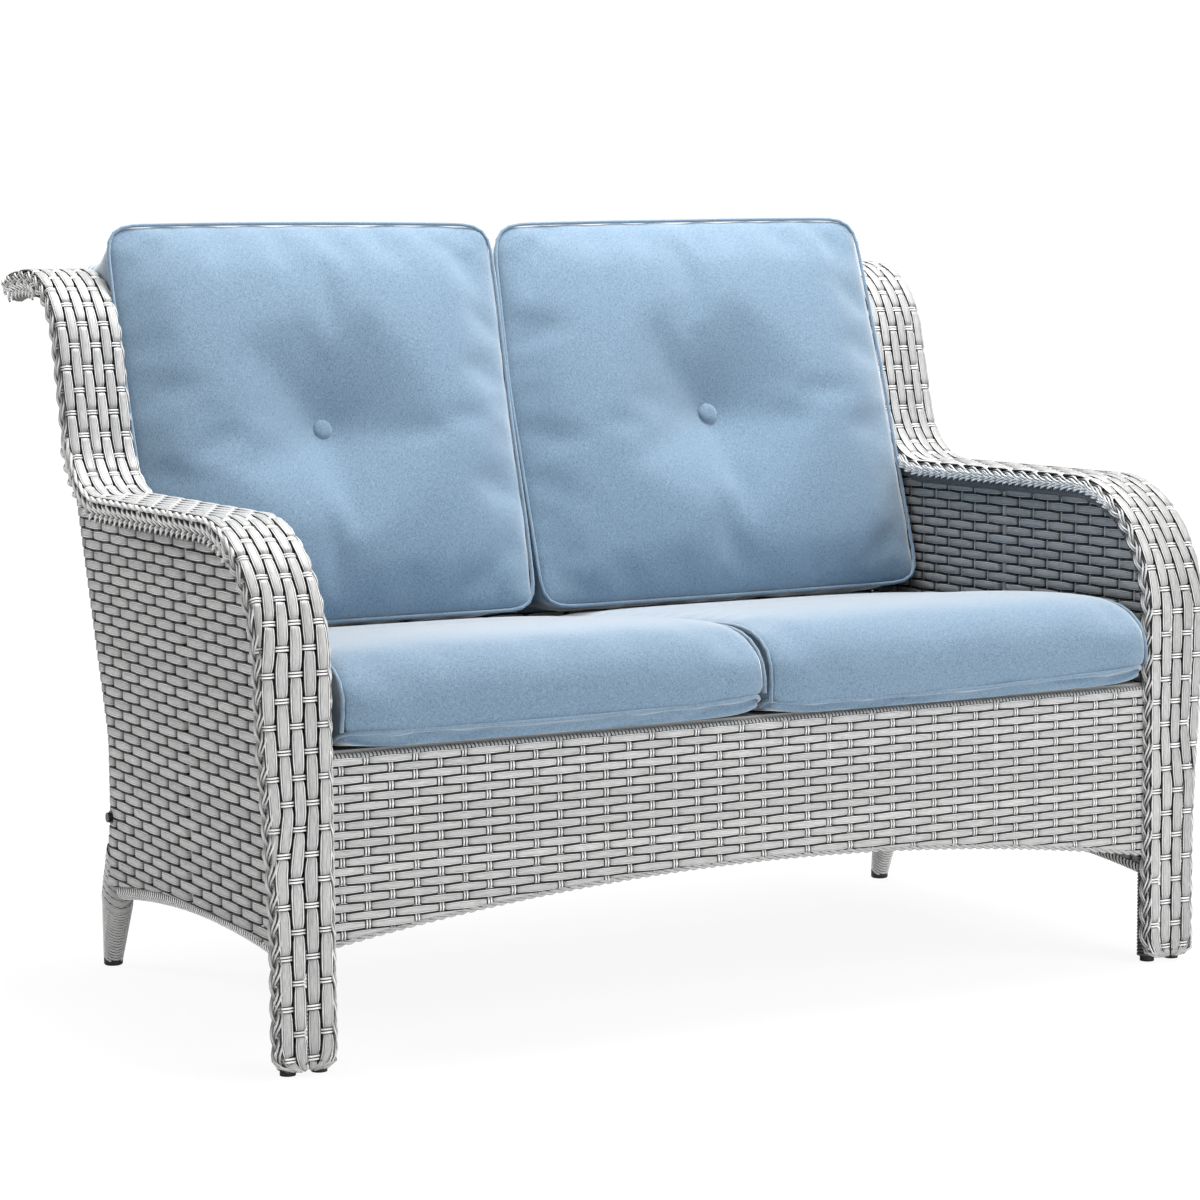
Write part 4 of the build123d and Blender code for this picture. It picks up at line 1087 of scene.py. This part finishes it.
def inflate(name, points, quads, held, cap, growth):
    """Cloth that grows and fills with air while some points are held; none moves past the cap."""
    piece = surface(name, points, [quads])
    group = piece.vertex_groups.new(name="held")
    group.add([int(i) for i in held], 1.0, "REPLACE")
    modifier = piece.modifiers.new("cloth", "CLOTH")
    settings = modifier.settings
    settings.quality = 5
    settings.mass = 0.3
    settings.tension_stiffness = 25
    settings.compression_stiffness = 25
    settings.shear_stiffness = 8
    settings.bending_stiffness = 1.5
    settings.use_pressure = True
    settings.uniform_pressure_force = 4.0
    settings.shrink_min = -growth
    settings.vertex_group_mass = "held"
    settings.effector_weights.gravity = 0.0
    modifier.point_cache.frame_start = 1
    modifier.point_cache.frame_end = settling_frames
    scene = bpy.context.scene
    for number in range(1, settling_frames + 1):
        scene.frame_set(number)
    done = piece.evaluated_get(bpy.context.evaluated_depsgraph_get())
    moved = np.empty(len(points) * 3)
    done.data.vertices.foreach_get("co", moved)
    moved = moved.reshape(-1, 3)
    piece.modifiers.clear()
    scene.frame_set(1)
    shift = moved - points
    size = np.linalg.norm(shift, axis=1, keepdims=True)
    shift *= np.minimum(1, cap / np.maximum(size, 1e-9))
    return piece, points + shift


def finish_cushion(piece, points, name, fill):
    """Stores the settled points and smooths the cushion once."""
    piece.data.vertices.foreach_set("co", points.astype(np.float32).ravel())
    piece.data.update()
    piece.vertex_groups.clear()
    piece.data.materials.append(cloth)
    finer = piece.modifiers.new("finer", "SUBSURF")
    finer.levels = finer.render_levels = 1
    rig.ride(piece, name)
    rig.slot(piece, "cushion_cloth")
    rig.replaces(piece, name)
    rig.padded(piece, fill)


def eased(line, closed):
    """The line with each point drawn to the mean of its neighbours twice; open ends stay."""
    for _ in range(2):
        mean = (np.roll(line, 1, 0) + 2 * line + np.roll(line, -1, 0)) / 4
        line = mean if closed else np.concatenate([line[:1], mean[1:-1], line[-1:]])
    return line


piping_radius, piping_out = 2.4 * mm, 1.5 * mm


def sew_piping(name, seams, middle):
    """Cloth-covered cord along each seam, half sunk where the two panels meet."""
    bag = new_bag()
    for line, closed in seams:
        line = eased(line, closed)
        step = np.roll(line, -1, 0) - np.roll(line, 1, 0) if closed else np.gradient(line, axis=0)
        ahead = unit(step)
        out = line - middle
        out = unit(out - (out * ahead).sum(1, keepdims=True) * ahead)
        lay(bag, line + piping_out * out, out, piping_radius, piping_radius, cord_outline,
            closed=closed)
    return woven(name + "_piping", bag, cloth, body=name, slot="cushion_cloth")


cord_outline = np.array([(-math.cos(a), math.sin(a)) for a in np.arange(10) * math.pi / 5])

# The top panel's line from the front seam back, at the ends and in the middle of the cushion, in
# millimetres along the seat and up from it.
tilt = math.radians(3)
seat_back = np.array((0, math.cos(tilt), -math.sin(tilt)))
seat_up = np.array((0, math.sin(tilt), math.cos(tilt)))
seat_origin = np.array((0, -455 * mm, 372 * mm))
end_view = np.array([(1, 19), (0, 36), (4, 62), (12, 75), (23, 86), (47, 99), (83, 106), (130, 107),
                     (180, 106), (300, 103), (430, 99), (560, 95), (622, 92), (631, 90)]) * mm
mid_view = np.array([(-1, 19), (-5, 36), (-5, 60), (3, 82), (22, 100), (55, 112), (100, 118),
                     (160, 119), (220, 117), (300, 112), (405, 108), (500, 104), (600, 97),
                     (631, 91)]) * mm
seam_low, seam_fade = 19 * mm, 60 * mm
seat_cols, seat_rows = (44, 60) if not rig.quick else (24, 32)

# Height of the front seam in millimetres, from the left end (-1) to the right end (1).
hems = {"l": ((-1, 22.5), (-0.77, 19.5), (0, 19), (0.65, 21), (0.86, 24), (1, 29)),
        "r": ((-1, 16.5), (-0.8, 13.5), (0, 14), (0.5, 19), (0.8, 21), (1, 26))}
edges = {"l": (-563 * mm, -12 * mm), "r": (3 * mm, 563 * mm)}
reaches = {"l": (-574.5 * mm, -1.5 * mm), "r": (1.5 * mm, 574.5 * mm)}
seat_cap, seat_swell = 5 * mm, 8 * mm


def seat_faces(tag):
    """Top and bottom grid of a seat cushion.

    The top's line in side view changes from the one at the ends to the one in the middle as
    1 - p^4.5, its front seam follows the hem, and its sides are drawn in as a sine.
    """
    low_x, high_x = edges[tag]
    middle_x, half_x = (low_x + high_x) / 2, (high_x - low_x) / 2
    p = np.linspace(-1, 1, seat_cols)
    p = p + 0.06 * np.sin(math.pi * p)
    end_line = smooth_curve(end_view, seat_rows)
    mid_line = smooth_curve(mid_view, seat_rows)
    filled = 1 - np.abs(p) ** 4.5
    view = end_line[:, None] + filled[:, None] * (mid_line - end_line)[:, None]
    hem = np.interp(p, *np.array(hems[tag]).T) * mm - seam_low
    low_share = np.clip(1 - (view[:, :, 1] - seam_low) / seam_fade, 0, 1)
    low_share[seat_rows // 2:] = 0
    view[..., 1] += hem * low_share
    corner = np.abs(p) ** 14
    view[..., 0] += 11 * mm * corner * low_share
    j = np.linspace(0, 1, seat_rows)
    draw = 2.5 * mm * np.sin(math.pi * j)[:, None] - 3 * mm * low_share[:, :1]
    xs = middle_x + (half_x - draw) * p[None]
    top = placed(seat_origin, view[..., 0], seat_back, view[..., 1], seat_up, xs)

    along = np.interp(np.arange(seat_rows), (0, 6, seat_rows - 1), (9 * mm, 40 * mm, 629 * mm))
    near = np.clip(1 - along / (60 * mm), 0, 1)[:, None]
    above = 2 * mm + near * (8 * mm * corner + hem * 0.4)
    low_xs = middle_x + (half_x + 4 * mm) * p[None] * (1 - 0.02 * near)
    along = along[:, None] + 10 * mm * corner * near
    return top, placed(seat_origin, along, seat_back, above, seat_up, low_xs)


def hem_seam(boxing):
    """Line round the boxing at the hem's height: level with the front seam, then lower down."""
    rise = (boxing - seat_origin) @ seat_up
    back = (boxing[0] - seat_origin) @ seat_back
    hem_rise = np.interp(back, (8 * mm, 70 * mm), (seam_low, 7 * mm))
    hem_rise[:seat_cols] = rise[0, :seat_cols]
    hem_rise = np.minimum(hem_rise, rise[0])
    ring = np.array([np.interp(-level, -column, np.arange(len(column)))
                     for level, column in zip(hem_rise, rise.T)])
    lower = ring.astype(int).clip(0, len(boxing) - 2)
    share = (ring - lower)[:, None]
    each = np.arange(len(ring))
    return boxing[lower, each] * (1 - share) + boxing[lower + 1, each] * share


for tag in edges:
    top, low = seat_faces(tag)
    points, quads, loops = shell(top, low, 10, seat_swell)
    bottom = np.arange(top[..., 0].size, 2 * top[..., 0].size)
    held = np.concatenate([loops[0], bottom])
    name = "seat_cushion_" + tag
    piece, settled = inflate(name + "_cover", points, quads, held, seat_cap, 0.015)
    height = (settled - seat_origin) @ seat_up
    settled += np.maximum(0.4 * mm - height, 0)[:, None] * seat_up
    settled[:, 0] = np.clip(settled[:, 0], *reaches[tag])
    finish_cushion(piece, settled, name, 0.7)

    # The curved seams lie at both ends of the top panel and the hem runs round the whole cushion.
    grid = np.arange(seat_rows * seat_cols).reshape(seat_rows, seat_cols)
    seams = [(settled[grid[:, 0]], False), (settled[grid[:, -1]], False),
             (hem_seam(settled[loops]), True)]
    sew_piping(name, seams, settled.mean(axis=0))

# Back cushions
# Boxed cushions that lean on the back, piped at both edges of the boxing and pulled in by one
# covered button through the middle, with soft creases that run out from it.

lean = math.atan2(wing_y - knee_y, post_top[1] - knee_high_z)
back_out = np.array((0, -math.cos(lean), math.sin(lean)))
back_up = np.array((0, math.sin(lean), math.cos(lean)))
rest_z = 438.5 * mm
rest_y = knee_y + (rest_z - knee_high_z) * math.tan(lean) - 18 * mm / math.cos(lean)
back_origin = np.array((0, rest_y, rest_z))
back_low_up, back_high_up = -16 * mm, 530 * mm
half_up = (back_high_up - back_low_up) / 2

# Both sides of each cushion as (up, x) in millimetres, and the boxing's depth at its left side,
# middle and right side. A tuft has its place across, up and out from the back.
sides = {"l": (((-16, -571), (186, -573), (430, -575), (530, -573)),
               ((-16, -36), (107, -30), (249, -28), (422, -20), (530, -17))),
         "r": (((-16, -20), (300, -20), (480, -10), (530, -4)),
               ((-16, 571), (300, 574), (530, 570)))}
seam_outs = {"l": (100, 100, 100), "r": (100, 106, 121)}
tufts = {"l": (-307 * mm, 246 * mm, 90 * mm), "r": (281 * mm, 248 * mm, 97 * mm)}
tuft_radius, rear_drop = 14 * mm, 17 * mm
back_grid = 60 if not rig.quick else 32
back_cap, back_swell = 12 * mm, 6 * mm
button_line = np.array([(0.2, 5.6), (5, 5.4), (9.6, 4.6), (12.6, 3.0), (13.8, 0.6), (13.0, -6),
                        (0.2, -6)]) * mm


def rounded_grid(p, q, tag, top_corner, low_corner):
    """Seam outline of a back cushion filled with a grid whose corners are pulled in to arcs."""
    up = (back_low_up + back_high_up) / 2 + half_up * q
    left, right = (np.interp(up / mm, *np.array(edge).T) * mm for edge in sides[tag])
    half_x = (right - left) / 2
    corner = np.where(q > 0, top_corner, low_corner)
    u = np.clip((np.abs(p) * half_x - (half_x - corner)) / corner, 0, 1)
    v = np.clip((np.abs(q) * half_up - (half_up - corner)) / corner, 0, 1)
    xs = (left + right) / 2 + half_x * p - np.sign(p) * corner * u * (1 - np.sqrt(1 - v**2 / 2))
    up = up - np.sign(q) * corner * v * (1 - np.sqrt(1 - u**2 / 2))
    return xs, up, half_x


def back_faces(tag):
    """Front and rear grid of a back cushion, and how far each point is from the tuft.

    The front swells from its seams to the middle and falls in towards the tuft as exp(-d^2). Five
    creases run out from the tuft as cos(5a)^3, and a sine puckers the cloth beside the seams.
    """
    even = np.linspace(-1, 1, back_grid)
    q, p = np.meshgrid(even, even, indexing="ij")
    xs, up, half_x = rounded_grid(p, q, tag, 24 * mm, 20 * mm)
    up = up + 3 * mm * (1 - p**2) * np.clip(q, 0, 1) ** 4
    tuft_x, tuft_up, tuft_out = tufts[tag]
    away_x, away_up = xs - tuft_x, up - tuft_up
    far = np.hypot(away_x, away_up)
    angle = np.arctan2(away_up, away_x)
    filled = ((1 - np.abs(p) ** 2.2) * (1 - np.abs(q) ** 2.2)) ** 0.68
    seam_out = np.interp(p, (-1, 0, 1), np.array(seam_outs[tag]) * mm)
    full = seam_out + 34 * mm * filled
    pull = 0.60 * np.exp(-((far / (92 * mm)) ** 2)) + 0.40 * np.exp(-((far / (36 * mm)) ** 1.6))
    depth = full + (tuft_out - full) * pull
    reach = np.exp(-(((far - 62 * mm) / (48 * mm)) ** 2))
    depth = depth - 3.4 * mm * reach * (0.5 + 0.5 * np.cos(5 * angle + 0.9)) ** 3
    rim_gap = np.minimum((1 - np.abs(p)) * half_x, (1 - np.abs(q)) * half_up)
    pucker = np.exp(-(((rim_gap - 16 * mm) / (15 * mm)) ** 2))
    depth = depth + 0.9 * mm * pucker * np.sin((xs + 1.7 * up) / (11 * mm))
    front = placed(back_origin, depth, back_out, up, back_up, xs)

    rear_depth = 2 * mm + 9 * mm * np.exp(-((far / (30 * mm)) ** 2))
    rear_xs, rear_up, _ = rounded_grid(p, q, tag, 14 * mm, 16 * mm)
    rear_up = rear_up - rear_drop * np.clip(q, 0, 1) ** 3
    rear_up = np.maximum(rear_up, 2 * mm + 0.03 * (rear_up - back_low_up))
    return front, placed(back_origin, rear_depth, back_out, rear_up, back_up, rear_xs), far


def button_mesh(name, centre, face):
    """The button's line turned round its axis, facing out of the back (1) or into it (-1)."""
    turn = np.linspace(0, 2 * math.pi, 28, endpoint=False)
    ray = np.cos(turn)[:, None] * np.array((1, 0, 0)) + np.sin(turn)[:, None] * back_up
    disc = button_line[:, :1, None] * ray + button_line[:, 1:, None] * face * back_out + centre
    grid = np.arange(disc.size // 3).reshape(len(button_line), -1)
    quads = np.stack([grid[:-1], grid[1:], np.roll(grid[1:], -1, 1), np.roll(grid[:-1], -1, 1)],
                     -1).reshape(-1, 4)
    caps = np.stack([grid[0], grid[-1][::-1]])
    if face < 0:
        quads, caps = quads[:, ::-1], caps[:, ::-1]
    return surface(name, disc.reshape(-1, 3), [quads, caps])


for tag in sides:
    front, rear, far = back_faces(tag)
    points, quads, loops = shell(front, rear, 12, back_swell)
    tuft = np.nonzero(far.ravel() < tuft_radius)[0]
    rear_face = np.arange(far.size, 2 * far.size)
    held = np.concatenate([loops[0], loops[-1], tuft, rear_face])
    name = "back_cushion_" + tag
    piece, settled = inflate(name + "_cover", points, quads, held, back_cap, 0.02)
    behind = (settled - back_origin) @ back_out
    settled += np.maximum(1 * mm - behind, 0)[:, None] * back_out
    settled[:, 0] = np.clip(settled[:, 0], -575.5 * mm, 575.5 * mm)
    finish_cushion(piece, settled, name, 0.75)
    seams = [(settled[loops[0]], True), (settled[loops[-1]], True)]
    sew_piping(name, seams, settled.mean(axis=0))

    # Two domed buttons in the same cloth, one at the front and one at the rear, are tied to each
    # other through the filling.
    tuft_x, tuft_up, _ = tufts[tag]
    tuft_depth = float((settled[tuft] - back_origin).dot(back_out).max())
    for word, face, base in (("front", 1, tuft_depth + 5 * mm), ("rear", -1, 11 * mm)):
        centre = back_origin + tuft_up * back_up + base * back_out + tuft_x * np.array((1, 0, 0))
        button = button_mesh(f"back_button_{word}_{tag}", centre, face)
        button.data.materials.append(cloth)
        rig.ride(button, name)
        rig.slot(button, "cushion_cloth")
        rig.replaces(button, "back_buttons_" + tag)

# Floor, light and camera
# White studio floor and a soft overhead light with a broad fill from the front. The camera sees the
# floor fade to white away from the object, which keeps its shadow.

studio_size = 60.0
corners = np.array([(-1, -1, 0), (1, -1, 0), (1, 1, 0), (-1, 1, 0)]) * studio_size / 2
plane = surface("floor", corners, [np.array([[0, 1, 2, 3]])])
paper, tree, shader = new_material("white_paper")
feed(tree, shader, {"Base Color": (0.82, 0.82, 0.82, 1), "Roughness": 1.0})
glow = node(tree, "ShaderNodeEmission", {"Strength": 1.06})
seen = node(tree, "ShaderNodeLightPath").outputs["Is Camera Ray"]
place = node(tree, "ShaderNodeTexCoord").outputs["Object"]
far_off = node(tree, "ShaderNodeVectorMath", {0: place}, operation="LENGTH").outputs["Value"]
whiter = node(tree, "ShaderNodeMapRange",
              {"Value": far_off, "From Min": 0.6, "From Max": 2.2, "To Min": 0.86},
              interpolation_type="SMOOTHSTEP").outputs[0]
blend = node(tree, "ShaderNodeMixShader", {0: maths(tree, "MULTIPLY", seen, whiter),
                                           1: shader.outputs[0], 2: glow.outputs[0]})
feed(tree, tree.nodes["Material Output"], {"Surface": blend.outputs[0]})
plane.data.materials.append(paper)
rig.stage(plane)

sky_seen, sky_fill = 1.05, 0.24
world = bpy.data.worlds.new("studio")
world.use_nodes = True
tree = world.node_tree
seen = node(tree, "ShaderNodeLightPath").outputs["Is Camera Ray"]
strength = maths(tree, "ADD", maths(tree, "MULTIPLY", seen, sky_seen - sky_fill), sky_fill)
feed(tree, tree.nodes["Background"], {"Strength": strength, "Color": (1, 1, 1, 1)})
bpy.context.scene.world = world


def soft_light(name, place, aim, size, watts):
    """Square area light that faces a point."""
    lamp = bpy.data.lights.new(name, "AREA")
    lamp.shape = "SQUARE"
    lamp.size = size
    lamp.energy = watts
    holder = bpy.data.objects.new(name, lamp)
    bpy.context.scene.collection.objects.link(holder)
    holder.location = place
    away = Vector(place) - Vector(aim)
    holder.rotation_euler = away.to_track_quat("Z", "Y").to_euler()


soft_light("overhead", (0.3, 0.15, 3.1), (0, 0, 0.45), 1.6, 148)
soft_light("key", (2.4, -3.2, 2.6), (0, 0, 0.45), 1.6, 80)
soft_light("low_front", (1.0, -4.2, 0.8), (0, 0, 0.3), 2.0, 54)
soft_light("left_fill", (-3.0, -3.4, 1.4), (0, 0, 0.45), 2.4, 22)
soft_light("rim", (-2.6, 2.4, 2.0), (-0.3, 0, 0.5), 1.2, 48)

focal_px, picture_px, sensor_mm = 3274.78, 1200, 36
yaw, pitch, roll = 0.48803, 0.104457, -0.0084253
ahead = np.array((math.sin(yaw) * math.cos(pitch), math.cos(yaw) * math.cos(pitch), -math.sin(pitch)))
right = np.array((math.cos(yaw), -math.sin(yaw), 0))
up = np.cross(right, ahead)
turned_right = math.cos(roll) * right + math.sin(roll) * up
turned_up = -math.sin(roll) * right + math.cos(roll) * up
view = bpy.data.cameras.new("camera")
view.sensor_width = sensor_mm
view.lens = focal_px / picture_px * sensor_mm
view.clip_end = 100
camera = bpy.data.objects.new("camera", view)
bpy.context.scene.collection.objects.link(camera)
turning = np.stack([turned_right, turned_up, -ahead], 1)
stand = Matrix.Translation((-2.03306, -3.83265, 0.92892))
camera.matrix_world = stand @ Matrix(turning.tolist()).to_4x4()
bpy.context.scene.camera = camera
bpy.context.scene.view_settings.view_transform = "Standard"

new_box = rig.bounds()
with open("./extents.json", "w") as size_file:
    json.dump({"cad": [list(v) for v in cad_box], "scene": [list(v) for v in new_box]}, size_file)
